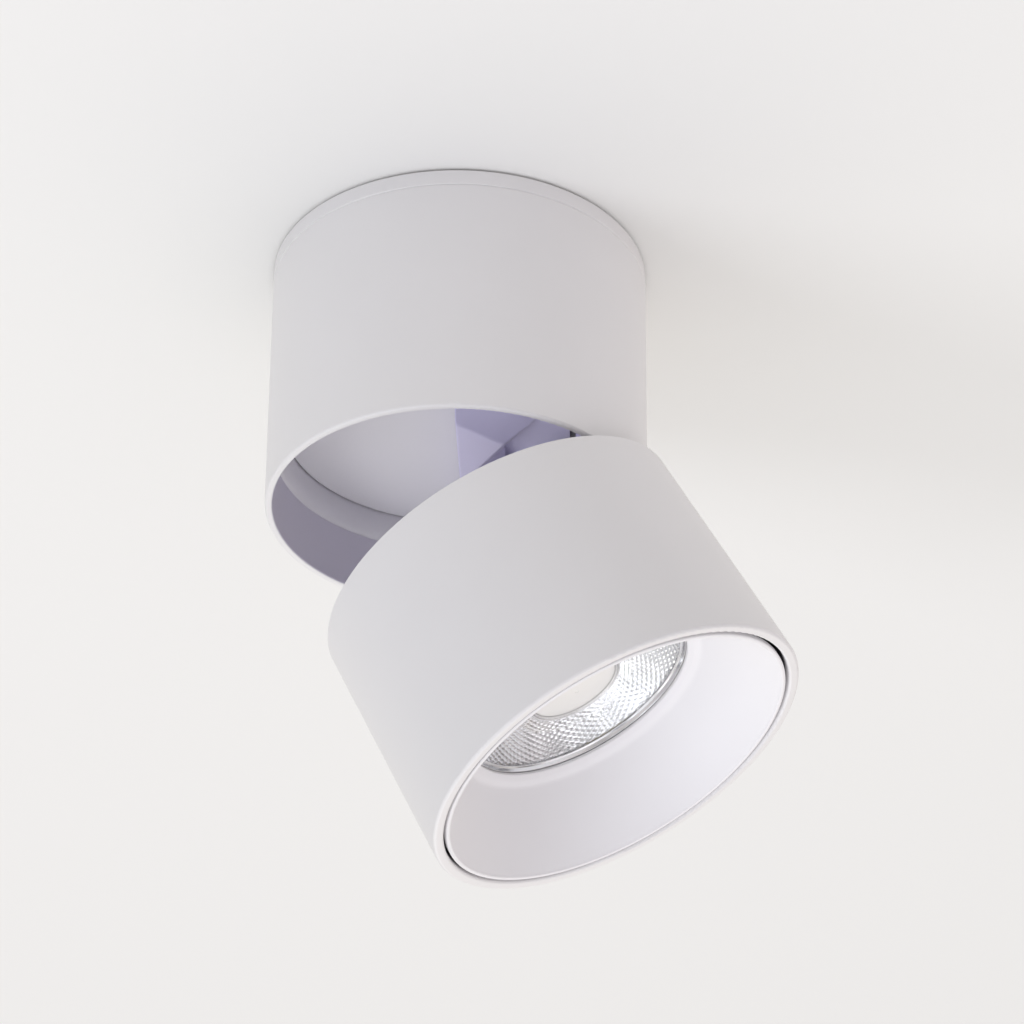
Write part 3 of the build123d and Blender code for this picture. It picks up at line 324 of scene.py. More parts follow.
def inside_group():
    """Mask of the inside of a can: 1 within a radius that may flare, about an axis that may lean."""
    tree, come, go = group(
        "inside_of_can",
        [("Top centre", VECTOR, (0, 0, 0)), ("Lean", FLOAT, 0.0), ("Radius", FLOAT, 0.05),
         ("Flare", FLOAT, 0.0), ("Depth", FLOAT, 1.0)],
        [("Inside", FLOAT)],
    )
    place = add(tree, "ShaderNodeTexCoord")
    shifted = add(tree, "ShaderNodeVectorMath", {
        0: place.outputs["Object"], 1: come.outputs["Top centre"]}, operation="SUBTRACT")
    upright = add(tree, "ShaderNodeVectorRotate", {
        "Vector": shifted.outputs[0], "Angle": come.outputs["Lean"]}, rotation_type="Y_AXIS")
    flat = add(tree, "ShaderNodeVectorMath", {
        0: upright.outputs[0], 1: (1.0, 1.0, 0.0)}, operation="MULTIPLY")
    radius = add(tree, "ShaderNodeVectorMath", {0: flat.outputs[0]}, operation="LENGTH")
    parts = add(tree, "ShaderNodeSeparateXYZ", {0: upright.outputs[0]})
    flared = add(tree, "ShaderNodeMath", {
        0: parts.outputs["Z"], 1: come.outputs["Flare"], 2: radius.outputs["Value"]},
        operation="MULTIPLY_ADD")
    past = add(tree, "ShaderNodeMath", {0: flared.outputs[0], 1: come.outputs["Radius"]},
               operation="SUBTRACT")
    inside = add(tree, "ShaderNodeMapRange", {
        "Value": past.outputs[0], "From Min": -MASK_BLUR, "From Max": MASK_BLUR,
        "To Min": 1.0, "To Max": 0.0}, interpolation_type="SMOOTHSTEP")
    above = add(tree, "ShaderNodeMath", {0: parts.outputs["Z"], 1: come.outputs["Depth"]},
                operation="ADD")
    deep = add(tree, "ShaderNodeMapRange", {
        "Value": above.outputs[0], "From Min": 0.0, "From Max": RIM_BLUR},
        interpolation_type="SMOOTHSTEP")
    both = add(tree, "ShaderNodeMath", {0: inside.outputs[0], 1: deep.outputs[0]},
               operation="MULTIPLY")
    tree.links.new(both.outputs[0], go.inputs["Inside"])
    return tree


INSIDE_OF_CAN = inside_group()
print("made the group", INSIDE_OF_CAN.name)

# %% [markdown]
# A finish puts one of these groups in front of a Principled shader. The group gives what changes over
# the surface, and a number that is the same all over is set on the shader itself.

# %% A finish is a shader fed by one of the groups
PEEL_HEIGHT = 0.02 * MM
LINE_HEIGHT = 0.01 * MM
PIT_HEIGHT = 0.02 * MM


def finish(name, look_group, values, bump, height, metallic=0.0):
    """Makes a material: a node group feeds colour, roughness and a bump into a Principled shader."""
    made, tree = blank_material(name)
    look = add(tree, "ShaderNodeGroup", values, node_tree=look_group)
    relief = add(tree, "ShaderNodeBump", {
        "Strength": bump, "Distance": height, "Height": look.outputs["Height"]})
    surface = add(tree, "ShaderNodeBsdfPrincipled", {
        "Base Color": look.outputs["Colour"], "Roughness": look.outputs["Roughness"],
        "Metallic": metallic, "Normal": relief.outputs["Normal"]})
    show(tree, surface.outputs[0])
    return made


def coat(name, colour, peel=900.0, roughness=0.42, tone=0.02, bump=0.25):
    """A powder coated finish."""
    values = {"Colour": (*colour, 1), "Peel size": peel, "Roughness": roughness, "Tone change": tone}
    return finish(name, POWDER_COAT, values, bump, PEEL_HEIGHT)


def metal(name, colour, lines, roughness=0.3, contrast=0.2, bump=0.3):
    """A machined, rolled or plated metal."""
    values = {"Colour": (*colour, 1), "Lines": lines, "Roughness": roughness, "Contrast": contrast}
    return finish(name, MACHINED, values, bump, LINE_HEIGHT, metallic=1.0)


def plastic(name, colour, pits=2500.0, roughness=0.5, tone=0.08, bump=0.2):
    """A moulded plastic, rubber or card."""
    values = {"Colour": (*colour, 1), "Pit size": pits, "Roughness": roughness, "Tone change": tone}
    return finish(name, MOULDED, values, bump, PIT_HEIGHT)


print("kinds of finish: coat, metal, plastic")

# %% [markdown]
# Each finish carries the name of the material that the construction model gives its pieces. The coat
# is a cool white, the hinge bracket a pale lilac and the disc inside the can a light grey. The pieces
# that are hidden inside have the usual colours of such pieces.

# %% Finishes
WHITE = (0.83, 0.816, 0.827)
FINISHES = {
    "white_coat": coat("white_coat", WHITE),
    "cavity_coat": coat("cavity_coat", (0.785, 0.772, 0.805), roughness=0.36),
    "bracket_grey": coat("bracket_grey", (0.765, 0.735, 0.98), roughness=0.45),
    "baffle_white": coat("baffle_white", (0.87, 0.86, 0.885), roughness=0.5),
    "steel": metal("steel", (0.62, 0.62, 0.61), (400.0, 400.0, 3000.0)),
    "arm_steel": metal("arm_steel", (0.55, 0.55, 0.56), (200.0, 2500.0, 200.0), roughness=0.35),
    "brass": metal("brass", (0.82, 0.62, 0.30), (500.0, 500.0, 3000.0)),
    "rubber": plastic("rubber", (0.03, 0.03, 0.032), roughness=0.7),
    "driver_plastic": plastic("driver_plastic", (0.80, 0.80, 0.78), roughness=0.45),
    "board": plastic("board", (0.03, 0.20, 0.09), pits=600.0, roughness=0.4, tone=0.5),
    "core": plastic("core", (0.06, 0.055, 0.05), roughness=0.55),
    "capacitor": plastic("capacitor", (0.05, 0.06, 0.10), pits=400.0, roughness=0.3),
    "terminal_plastic": plastic("terminal_plastic", (0.78, 0.76, 0.70)),
    "lead_sleeve": plastic("lead_sleeve", (0.74, 0.73, 0.71), pits=1200.0, roughness=0.55),
    "acetal": plastic("acetal", (0.82, 0.81, 0.78), roughness=0.35),
    "sink_aluminium": metal("sink_aluminium", (0.70, 0.70, 0.71), (300.0, 300.0, 1500.0)),
    "pad": plastic("pad", (0.45, 0.50, 0.62), roughness=0.75),
    "emitter": plastic("emitter", (0.78, 0.70, 0.44), pits=1800.0, roughness=0.35),
    "holder_plastic": plastic("holder_plastic", (0.82, 0.81, 0.78)),
    "silvering": metal("silvering", (0.87, 0.87, 0.875), (900.0, 900.0, 900.0), roughness=0.07,
                       contrast=0.02, bump=0.02),
    "cream_lens": plastic("cream_lens", (0.86, 0.85, 0.83), pits=1500.0, roughness=0.3, tone=0.05),
    "bright_chrome": metal("bright_chrome", (0.74, 0.74, 0.75), (60.0, 60.0, 2500.0), roughness=0.12,
                           contrast=0.05, bump=0.05),
}
print("finishes:", len(FINISHES))

# %% [markdown]
# Both shells get the white coat with painted shade inside, a darker colour that stands for the shade deep in each
# can, each about its own axis. Of the head's inside only the gap round the cone shows, which is narrow and in deep
# shade, so its painted shade is nearly black. The head's bore opens a little towards its mouth, and the last part
# of it, by the rim, is as white as the outside.

# %% White coat with painted shade inside
def coat_with_painted_shade(name, inner, radius, flare=0.0, top=(0, 0, 0), lean=0.0, depth=1.0):
    """The white coat, with a painted shade colour inside a radius of an axis and above a depth."""
    made = coat(name, WHITE)
    tree = made.node_tree
    surface = next(n for n in tree.nodes if n.type == "BSDF_PRINCIPLED")
    look = next(n for n in tree.nodes if n.type == "GROUP")
    mask = add(tree, "ShaderNodeGroup", {
        "Top centre": top, "Lean": lean, "Radius": radius, "Flare": flare, "Depth": depth},
        node_tree=INSIDE_OF_CAN)
    # Inside the mask the coat's colour is swapped for the painted shade colour.
    dim = add(tree, "ShaderNodeMix", {
        "Factor": mask.outputs["Inside"], 6: look.outputs["Colour"], 7: (*inner, 1)}, data_type="RGBA")
    tree.links.new(dim.outputs[2], surface.inputs["Base Color"])
    return made


CAN_BORE = 48.0 * MM
CAN_MASK_RADIUS = CAN_BORE + 0.2 * MM
# Painted shade: a darker lilac grey for the can's inside wall, which lies in shade.
CAN_PAINTED_SHADE = (0.66, 0.635, 0.72)
HEAD_BORE = 47.8 * MM
HEAD_MASK_RADIUS = HEAD_BORE + 0.22 * MM
# Painted shade: nearly black for the head's inside, seen only in the shaded gap round the cone.
HEAD_PAINTED_SHADE = (0.16, 0.145, 0.17)
HEAD_MOUTH = 49.3 * MM
HEAD_LENGTH = 65.8 * MM
HEAD_FLARE = (HEAD_MOUTH - HEAD_BORE) / HEAD_LENGTH
HEAD_PAINTED_SHADE_DEPTH = 64.0 * MM
can_coat = coat_with_painted_shade("white_coat_can_painted_shade", CAN_PAINTED_SHADE, CAN_MASK_RADIUS)
head_coat = coat_with_painted_shade(
    "white_coat_head_painted_shade", HEAD_PAINTED_SHADE, HEAD_MASK_RADIUS, HEAD_FLARE,
    tuple(head_place.translation), rest_angle, HEAD_PAINTED_SHADE_DEPTH)
print("head leans", round(math.degrees(rest_angle), 1), "degrees about", tuple(head_place.translation))

# %% [markdown]
# The cover over the reflector is clear. Glass that bends light as much as the real one turned black
# where it curves or ends, because the light was caught inside it. So the cover bends light only a
# little, and a glossy coat on it gives back the shine of real glass. A ray from a lamp would have to
# find its way through by chance, which is noisy, so for shadow rays the cover is open.

# %% Clear cover
def clear_cover():
    """Clear plastic with very faint waves."""
    made, tree = blank_material("clear_lens")
    place = add(tree, "ShaderNodeTexCoord")
    waves = add(tree, "ShaderNodeTexNoise", {
        "Vector": place.outputs["Object"], "Scale": 60.0, "Detail": 2.0})
    relief = add(tree, "ShaderNodeBump", {
        "Strength": 0.05, "Distance": 0.05 * MM, "Height": waves.outputs["Fac"]})
    smear = add(tree, "ShaderNodeMapRange", {
        "Value": waves.outputs["Fac"], "To Min": 0.0, "To Max": 0.03})
    clear = add(tree, "ShaderNodeBsdfPrincipled", {
        "Base Color": (0.97, 0.975, 0.98, 1), "Roughness": smear.outputs[0],
        "IOR": 1.08, "Transmission Weight": 1.0, "Coat Weight": 0.7, "Coat IOR": 1.5,
        "Coat Roughness": 0.02, "Normal": relief.outputs["Normal"]})
    open_way = add(tree, "ShaderNodeBsdfTransparent", {"Color": (0.92, 0.92, 0.92, 1)})
    path = add(tree, "ShaderNodeLightPath")
    mix = add(tree, "ShaderNodeMixShader", {
        0: path.outputs["Is Shadow Ray"], 1: clear.outputs[0], 2: open_way.outputs[0]})
    show(tree, mix.outputs[0])
    return made


FINISHES["clear_lens"] = clear_cover()
print("finishes with the cover:", len(FINISHES))

# %% [markdown]
# Every piece of the construction model comes with a plain material that carries the name of its
# finish. Its slot is given the real finish, the plain ones are removed, and then the finishes take
# over their names.

# %% Give every piece of the construction model its finish
slots = {m["slot"] for m in frame["record"]["materials"]}
print("slots with no finish:", sorted(slots - set(FINISHES)))
node_slot = {name: node.data.materials[0].name for name, node in nodes.items()}
plain_materials = {node.data.materials[0] for node in nodes.values()}
for name, node in nodes.items():
    node.data.materials[0] = FINISHES[node_slot[name]]
for plain in plain_materials:
    bpy.data.materials.remove(plain)
for slot_name, made in FINISHES.items():
    made.name = slot_name
nodes["housing_shell"].data.materials[0] = can_coat
nodes["head_shell"].data.materials[0] = head_coat
print("pieces with a finish:", len(node_slot))

# %% [markdown]
# ## Turned shapes
#
# The round pieces of the light are spun, turned or moulded about an axis, so one helper draws them
# all: an outline of corners, each with the radius of its rounding, is swept round the Z axis. A Screw
# modifier would do this too, but here the corners have to be rounded first. The construction model
# has the same pieces with plain corners, and the new ones add the soft lips and beads that catch the
# light.

# %% A turned piece
def rounded(outline, bends=6, most=0.49):
    """Rounds the corners of a closed outline of (radius, level, rounding), up to a share of a side."""
    points = []
    for index, (radius, level, rounding) in enumerate(outline):
        here = Vector((radius, level))
        back = Vector(outline[index - 1][:2]) - here
        ahead = Vector(outline[(index + 1) % len(outline)][:2]) - here
        if rounding == 0:
            points.append(here)
            continue
        half = back.angle(ahead) / 2
        reach = min(rounding / math.tan(half), most * back.length, most * ahead.length)
        start = here + back.normalized() * reach
        end = here + ahead.normalized() * reach
        for bend in range(bends + 1):
            t = bend / bends
            points.append((1 - t) ** 2 * start + 2 * t * (1 - t) * here + t ** 2 * end)
    return points


SIDES = 256


def turned_mesh(name, outline, sides=SIDES):
    """Mesh of an outline in metres, swept round the Z axis."""
    points = rounded(outline)
    count = len(points)
    corners = []
    for side in range(sides):
        angle = 2 * math.pi * side / sides
        for point in points:
            corners.append((point.x * math.cos(angle), point.x * math.sin(angle), point.y))
    faces = []
    for side in range(sides):
        ahead = (side + 1) % sides
        for k in range(count):
            j = (k + 1) % count
            faces.append((side * count + k, ahead * count + k, ahead * count + j, side * count + j))
    mesh = bpy.data.meshes.new(name)
    mesh.from_pydata(corners, [], faces)
    return mesh


print("sides of a turned piece:", SIDES)

# %% [markdown]
# A finer piece then takes the place of its node in the construction model: it gets the node's finish, rides on the
# same body, and the node is hidden. Smooth shading is right for round stretches and wrong for corners, so edges
# above an angle are marked sharp instead of adding more faces. Where an outline touches the axis, its many equal
# points are joined into one first.

# %% Put a finer piece in place of its node
SAME_POINT = 1e-7


def outward(mesh):
    """Joins points that lie in one place, and turns the faces of a closed mesh outwards."""
    form = bmesh.new()
    form.from_mesh(mesh)
    bmesh.ops.remove_doubles(form, verts=form.verts, dist=SAME_POINT)
    bmesh.ops.recalc_face_normals(form, faces=form.faces)
    form.to_mesh(mesh)
    form.free()


def stand_in(mesh, node, place, body, sharp=35):
    """Puts a mesh in place of a node of the construction model, with the node's finish."""
    outward(mesh)
    mesh.shade_smooth()
    mesh.set_sharp_from_angle(angle=math.radians(sharp))
    mesh.materials.append(FINISHES[node_slot[node]])
    made = in_scene(mesh.name, mesh)
    made.matrix_world = place
    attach(made, body)
    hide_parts(node)
    print(made.name, "stands in for", node, "with", len(mesh.polygons), "faces")
    return made


print("points closer than", SAME_POINT, "m are joined")

# %% [markdown]
# ## The reflector
#
# The bowl behind the cover is moulded plastic with a mirror coating. Its wall isn't smooth: it is
# made of small cushions, set like fish scales, that break up the picture of the light source. A bump
# in the finish could fake them, but it would be missing from a mesh that is exported or printed, and
# the creases between them would be soft from near. So the cushions are built. Each is a small diamond
# of the bowl's own curve, raised in its middle, and mirrors the room in its own way. That gives the
# sparkle.

# %% Measure the bowl
BOWL_OUTER, BOWL_TOP_Z, bowl_end_z = head_span("reflector")
BOWL_LONGER = 0.94 * MM
BOWL_RIM_Z = bowl_end_z - BOWL_LONGER
RIM_THICK = 0.15 * MM
RIM_INNER = BOWL_OUTER - 1.2 * MM
THROAT = 8.5 * MM
WALL = 1.0 * MM
bowl_measures = (BOWL_OUTER, BOWL_TOP_Z, BOWL_RIM_Z)
print("bowl radius, top and rim in mm:", [round(value / MM, 2) for value in bowl_measures])

# %% Curve of the bowl
SECTORS = 76
HALF_ROWS = 46


def bowl_point(row, sector, lift):
    """A point of the bowl: row from throat to rim, sector round the axis, lifted off the wall."""
    share = row / HALF_ROWS
    radius = THROAT + (RIM_INNER - THROAT) * share
    deep = (radius ** 2 - THROAT ** 2) / (RIM_INNER ** 2 - THROAT ** 2)
    drop = BOWL_TOP_Z - (BOWL_RIM_Z + RIM_THICK)
    slope = drop * 2 * radius / (RIM_INNER ** 2 - THROAT ** 2)
    inward = 1 / math.hypot(1, slope)
    radius_here = radius - lift * slope * inward
    z = BOWL_TOP_Z - drop * deep - lift * inward
    angle = 2 * math.pi * sector / SECTORS
    return radius_here * math.cos(angle), radius_here * math.sin(angle), z


print("height of the bowl half way, in mm:", round(bowl_point(HALF_ROWS / 2, 0, 0)[2] / MM, 2))

# %% [markdown]
# Neighbouring cushions share the points along their edges, so the wall has no cracks. Each cushion is
# a small grid over its diamond, and the product of two parabolas lifts its middle and leaves its
# edges where they are. That product is a sixteenth at its highest, so it is multiplied up to one.
# Points are told apart by their row and sector in thousandths.

# %% Cushions of the bowl
CUSHION_STEPS = 3
CUSHION_RISE = 0.13 * MM
FULL_LIFT = 16
THOUSANDTHS = 1000


def bowl_cushions(form, known):
    """Adds the cushions to a mesh, each a grid on a diamond between two rows and two sectors."""
    def point(row, sector, lift):
        """A point that neighbours share, made the first time that it is asked for."""
        sector = sector % SECTORS
        key = (round(row * THOUSANDTHS), round(sector * THOUSANDTHS) % (SECTORS * THOUSANDTHS))
        if key not in known:
            known[key] = form.verts.new(bowl_point(row, sector, lift))
        return known[key]

    for row in range(HALF_ROWS + 1):
        for index in range(SECTORS):
            middle = index + 0.5 * ((row + 1) % 2)
            low = (max(row - 1, 0), middle)
            high = (min(row + 1, HALF_ROWS), middle)
            left = (row, middle - 0.5)
            right = (row, middle + 0.5)
            grid = []
            for i in range(CUSHION_STEPS + 1):
                p = i / CUSHION_STEPS
                line = []
                for j in range(CUSHION_STEPS + 1):
                    q = j / CUSHION_STEPS
                    at = [
                        (1 - p) * (1 - q) * low[k] + p * (1 - q) * right[k]
                        + p * q * high[k] + (1 - p) * q * left[k]
                        for k in (0, 1)
                    ]
                    lift = CUSHION_RISE * FULL_LIFT * p * (1 - p) * q * (1 - q)
                    line.append(point(at[0], at[1], lift))
                grid.append(line)
            for i in range(CUSHION_STEPS):
                for j in range(CUSHION_STEPS):
                    form.faces.new((grid[i][j], grid[i + 1][j], grid[i + 1][j + 1], grid[i][j + 1]))


print("cushions:", SECTORS * (HALF_ROWS + 1), "each about",
      round(2 * math.pi * RIM_INNER / SECTORS / MM, 1), "mm wide at the rim")

# %% [markdown]
# A mirror with no thickness would have a back that shows from the side and can't be cut or printed.
# So the bowl gets a flat rim and a plain back, a wall behind the cushions, and is one closed piece.

# %% Close the bowl and put it in
CREASE_ANGLE = 14
BACK_ROWS = range(HALF_ROWS - 4, 2, -5)
BACK_SHIFT = 0.3 * WALL
BACK_END = THROAT + 2.5 * WALL


def reflector_mesh():
    """The cushions with a rim, a back and a throat, all sewn together ring by ring."""
    form = bmesh.new()
    known = {}
    bowl_cushions(form, known)
    around = SECTORS * 2 * CUSHION_STEPS
    back = [(BOWL_OUTER, BOWL_RIM_Z), (BOWL_OUTER, BOWL_RIM_Z + WALL)]
    for row in BACK_ROWS:
        x, y, z = bowl_point(row, 0, 0)
        back.append((math.hypot(x, y) + WALL, z + BACK_SHIFT))
    back.append((BACK_END, BOWL_TOP_Z))

    def ring_of(row):
        """The cushions' own points along their first or last row."""
        sectors = [round(i * THOUSANDTHS / (2 * CUSHION_STEPS)) for i in range(around)]
        return [known[(row * THOUSANDTHS, sector)] for sector in sectors]

    def circle(radius, z):
        """A new circle with as many points as a row of cushions."""
        angles = [2 * math.pi * i / around for i in range(around)]
        return [form.verts.new((radius * math.cos(a), radius * math.sin(a), z)) for a in angles]

    rings = [ring_of(HALF_ROWS), circle(RIM_INNER, BOWL_RIM_Z)]
    rings += [circle(radius, z) for radius, z in back]
    rings.append(ring_of(0))
    for one, two in zip(rings, rings[1:]):
        for i in range(around):
            j = (i + 1) % around
            form.faces.new((one[i], one[j], two[j], two[i]))
    mesh = bpy.data.meshes.new("reflector_bowl")
    form.to_mesh(mesh)
    form.free()
    return mesh


stand_in(reflector_mesh(), "reflector", head_place, "head", sharp=CREASE_ANGLE)

# %% [markdown]
# ## The chrome ring and the anti-glare cone
#
# A bright ring holds the cover. A thin flange lies in front of the cover's edge, and from it a steep
# slope goes down to the flat face of the ring. A torus would give the same bright line from afar, but
# from near the flange and the slope mirror two different parts of the room, so the ring is turned.

# %% Chrome ring
RING_OUTER, RING_TOP_Z, RING_FACE_Z = head_span("lens_ring")
RING_OPENING = BOWL_OUTER - 1.35 * MM
RING_BACK_Z = RING_FACE_Z + 1.26 * MM
FLANGE_EDGE = RING_OPENING - 0.45 * MM
RING_BORE = BOWL_OUTER + 0.05 * MM
ring_outline = [
    (FLANGE_EDGE, RING_BACK_Z, 0),
    (FLANGE_EDGE, RING_BACK_Z - 0.24 * MM, 0.11 * MM),
    (RING_OPENING + 0.28 * MM, RING_BACK_Z - 0.3 * MM, 0.05 * MM),
    (RING_OPENING + 0.6 * MM, RING_FACE_Z, 0.16 * MM),
    (RING_OUTER, RING_FACE_Z, 0.1 * MM),
    (RING_OUTER, RING_TOP_Z, 0),
    (RING_BORE, RING_TOP_Z, 0),
    (RING_BORE, RING_BACK_Z, 0),
]
stand_in(turned_mesh("chrome_ring", ring_outline), "lens_ring", head_place, "head")

# %% [markdown]
# The anti-glare cone is a loose insert that leaf springs hold in the mouth of the head. A dark gap
# runs round it, and its rim is a soft white lip. In the photo the gap is wider on one side, because
# the insert leans a little. Turning the whole piece would open a slit at its collar, so the mesh is
# sheared instead: its points move to one side, the more the nearer they are to the rim.

# %% Anti-glare cone
CONE_OUTER, CONE_TOP_Z, CONE_RIM_Z = head_span("baffle")
CONE_GAP = 0.40 * MM
CONE_SHIFT = Vector((0, 0.62, 0)) * MM
LIP_WIDTH = 1.35 * MM
LIP_OUTER = CONE_OUTER - CONE_GAP
COLLAR_INNER = BOWL_OUTER - 0.6 * MM
COLLAR_OUTER = BOWL_OUTER + 3.6 * MM
cone_outline = [
    (COLLAR_INNER, CONE_TOP_Z, 0),
    (COLLAR_INNER, CONE_TOP_Z - 0.7 * MM, 0.3 * MM),
    (BOWL_OUTER + 0.8 * MM, CONE_TOP_Z - 1.7 * MM, 0.8 * MM),
    (BOWL_OUTER + 2.5 * MM, CONE_TOP_Z - 2.6 * MM, 3.0 * MM),
    (LIP_OUTER - LIP_WIDTH, CONE_RIM_Z + 0.55 * MM, 0.45 * MM),
    (LIP_OUTER - 0.8 * LIP_WIDTH, CONE_RIM_Z, 0.5 * MM),
    (LIP_OUTER, CONE_RIM_Z, 0.55 * MM),
    (LIP_OUTER, CONE_RIM_Z + 1.6 * MM, 0),
    (COLLAR_OUTER, CONE_TOP_Z - 2.2 * MM, 0),
    (COLLAR_OUTER, CONE_TOP_Z, 0),
]
cone_mesh = turned_mesh("anti_glare_cone", cone_outline)
for vertex in cone_mesh.vertices:
    vertex.co += CONE_SHIFT * (CONE_TOP_Z - vertex.co.z) / (CONE_TOP_Z - CONE_RIM_Z)
stand_in(cone_mesh, "baffle", head_place, "head")

# %% [markdown]
# In the middle of the cover sits a milky lens. It could be a squashed ball, but its dome is so low
# that a parabola in a turned outline is simpler and meets the ring at the right height. A tiny dent
# at the crown is the mark where the plastic entered the mould.

# %% Centre lens
_, LENS_TOP_Z, LENS_FACE_Z = head_span("centre_lens")
DOME_RADIUS = 11.9 * MM
DOME_RISE = 1.8 * MM
DOME_SIDES = 160
DOME_ROUNDING = 1.2 * MM
DENT_DEPTH = 0.25 * MM
dome_outline = [
    (0, LENS_TOP_Z, 0),
    (0, LENS_FACE_Z + DENT_DEPTH, 0),
    (0.3 * MM, LENS_FACE_Z + 0.22 * MM, 0.1 * MM),
    (DOME_RADIUS * 0.05, LENS_FACE_Z + DOME_RISE * 0.05 ** 2, 0),
]
for share in (0.2, 0.35, 0.5, 0.65, 0.8, 0.92):
    dome_outline.append((DOME_RADIUS * share, LENS_FACE_Z + DOME_RISE * share ** 2, DOME_ROUNDING))
dome_outline.append((DOME_RADIUS, LENS_FACE_Z + DOME_RISE, 0.15 * MM))
dome_outline.append((DOME_RADIUS, LENS_TOP_Z, 0))
stand_in(turned_mesh("milky_lens", dome_outline, DOME_SIDES), "centre_lens", head_place, "head")

# %% [markdown]
# The ring round the lens is two fine bright beads with a valley between. Two thin rings could do the
# same, but a real one is a single moulded piece, so one outline goes over both beads.

# %% Ring round the centre lens
BEAD_INNER = DOME_RADIUS + 0.02 * MM
BEAD_OUTER = DOME_RADIUS + 1.3 * MM
BEAD_FACE_Z = LENS_FACE_Z + 1.3 * MM
BEAD_WIDTH = 0.52 * MM
BEAD_ROUNDING = 0.16 * MM
VALLEY_DEPTH = 0.4 * MM
bead_outline = [
    (BEAD_INNER, LENS_TOP_Z, 0),
    (BEAD_INNER, BEAD_FACE_Z, BEAD_ROUNDING),
    (DOME_RADIUS + BEAD_WIDTH, BEAD_FACE_Z, BEAD_ROUNDING),
    (0.5 * (DOME_RADIUS + BEAD_OUTER), BEAD_FACE_Z + VALLEY_DEPTH, 0.04 * MM),
    (BEAD_OUTER - BEAD_WIDTH, BEAD_FACE_Z, BEAD_ROUNDING),
    (BEAD_OUTER, BEAD_FACE_Z, BEAD_ROUNDING),
    (BEAD_OUTER, LENS_TOP_Z, 0),
]
stand_in(turned_mesh("centre_beads", bead_outline), "centre_ring", head_place, "head")

# %% [markdown]
# The cover is a thin clear sheet that is dished back to the beads. A plain thick disc with a hole
# would be quicker to draw, but a thick edge of glass shows as a dark band. A sheet that is equally
# thick all over lets the reflector be seen straight through it, also where it bends.

# %% Clear cover sheet
COVER_OUTER, COVER_BACK_Z, COVER_FACE_Z = head_span("cover_glass")
SHEET = 0.5 * MM
COVER_INNER = BEAD_OUTER + 0.04 * MM
DISH_OUTER = BEAD_OUTER + 3.2 * MM
DISH_ROUNDING = 2.0 * MM
EDGE_ROUNDING = 0.05 * MM
cover_outline = [
    (COVER_INNER, COVER_BACK_Z, EDGE_ROUNDING),
    (COVER_INNER, COVER_BACK_Z - SHEET, EDGE_ROUNDING),
    (BEAD_OUTER + 0.4 * MM, COVER_BACK_Z - SHEET, 0.3 * MM),
    (DISH_OUTER, COVER_FACE_Z, DISH_ROUNDING),
    (COVER_OUTER, COVER_FACE_Z, EDGE_ROUNDING),
    (COVER_OUTER, COVER_FACE_Z + SHEET, EDGE_ROUNDING),
    (DISH_OUTER, COVER_FACE_Z + SHEET, DISH_ROUNDING),
    (BEAD_OUTER + 0.5 * MM, COVER_BACK_Z, 0.3 * MM),
]
stand_in(turned_mesh("clear_cover", cover_outline), "cover_glass", head_place, "head")

# %% [markdown]
# ## Inside the can
#
# A ring lines the can round the turntable, and its lower lip is well rounded. The rounding is longer
# than it is wide, so a plain round corner can't make it. A quarter of an ellipse in steps can.

# %% Ring in the can
low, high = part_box("cavity_ring")
LINER_OUTER = high.x + 0.12 * MM
LINER_WALL = 2.12 * MM
LINER_INNER = LINER_OUTER - LINER_WALL
LINER_ROUNDING = 0.2 * MM
LIP_HEIGHT = 4.0 * MM
LIP_STEPS = 12
liner_outline = [(LINER_INNER, high.z, LINER_ROUNDING)]
for step in range(LIP_STEPS + 1):
    angle = math.pi / 2 * step / LIP_STEPS
    radius = LINER_OUTER - (LINER_OUTER - LINER_INNER) * math.cos(angle)
    liner_outline.append((radius, low.z + LIP_HEIGHT * (1 - math.sin(angle)), 0))
liner_outline.append((LINER_OUTER, high.z, LINER_ROUNDING))
stand_in(turned_mesh("can_liner", liner_outline), "cavity_ring", Matrix(), "housing")
print("liner radius from", round(LINER_INNER / MM, 2), "to", round(LINER_OUTER / MM, 2), "mm")

# %% [markdown]
# The hinge bracket is a casting with a facetted boss. The ridges between its facets are blunt, so they
# show as soft light lines. Its shape could be drawn anew, but the construction model's own mesh is
# exact already: its flat faces are joined, and the edges of the boss are bevelled. A bevel on its own
# makes the large faces look swollen, so each point takes its direction mostly from the larger faces.

# %% Hinge bracket with blunt ridges
RIDGE_ROUNDING = 0.55 * MM
BEVEL_STEPS = 4
FLAT_ANGLE = math.radians(2)
RIDGE_ANGLE = math.radians(12)
SHORTEST_RIDGE = 2 * MM
BOSS_END_X = 21 * MM
BOSS_TOP_Z = -52.6 * MM


def blunt_copy(name, node, offset, chosen):
    """Copy of a node's mesh with some of its edges rounded off."""
    form = bmesh.new()
    form.from_mesh(nodes[node].data)
    bmesh.ops.remove_doubles(form, verts=form.verts, dist=1e-6)
    bmesh.ops.dissolve_limit(
        form, angle_limit=FLAT_ANGLE, verts=form.verts[:], edges=form.edges[:])
    ridges = [
        edge for edge in form.edges
        if len(edge.link_faces) == 2 and edge.calc_face_angle() > RIDGE_ANGLE
        and edge.calc_length() > SHORTEST_RIDGE and chosen((edge.verts[0].co + edge.verts[1].co) / 2)
    ]
    bmesh.ops.bevel(
        form, geom=ridges, offset=offset, segments=BEVEL_STEPS, profile=0.5, affect="EDGES",
        clamp_overlap=True)
    mesh = bpy.data.meshes.new(name)
    form.to_mesh(mesh)
    form.free()
    print(name, "rounded edges:", len(ridges))
    return mesh


def on_boss(middle):
    """Whether the middle of an edge is on the facetted boss of the bracket."""
    return middle.x < BOSS_END_X and middle.z < BOSS_TOP_Z


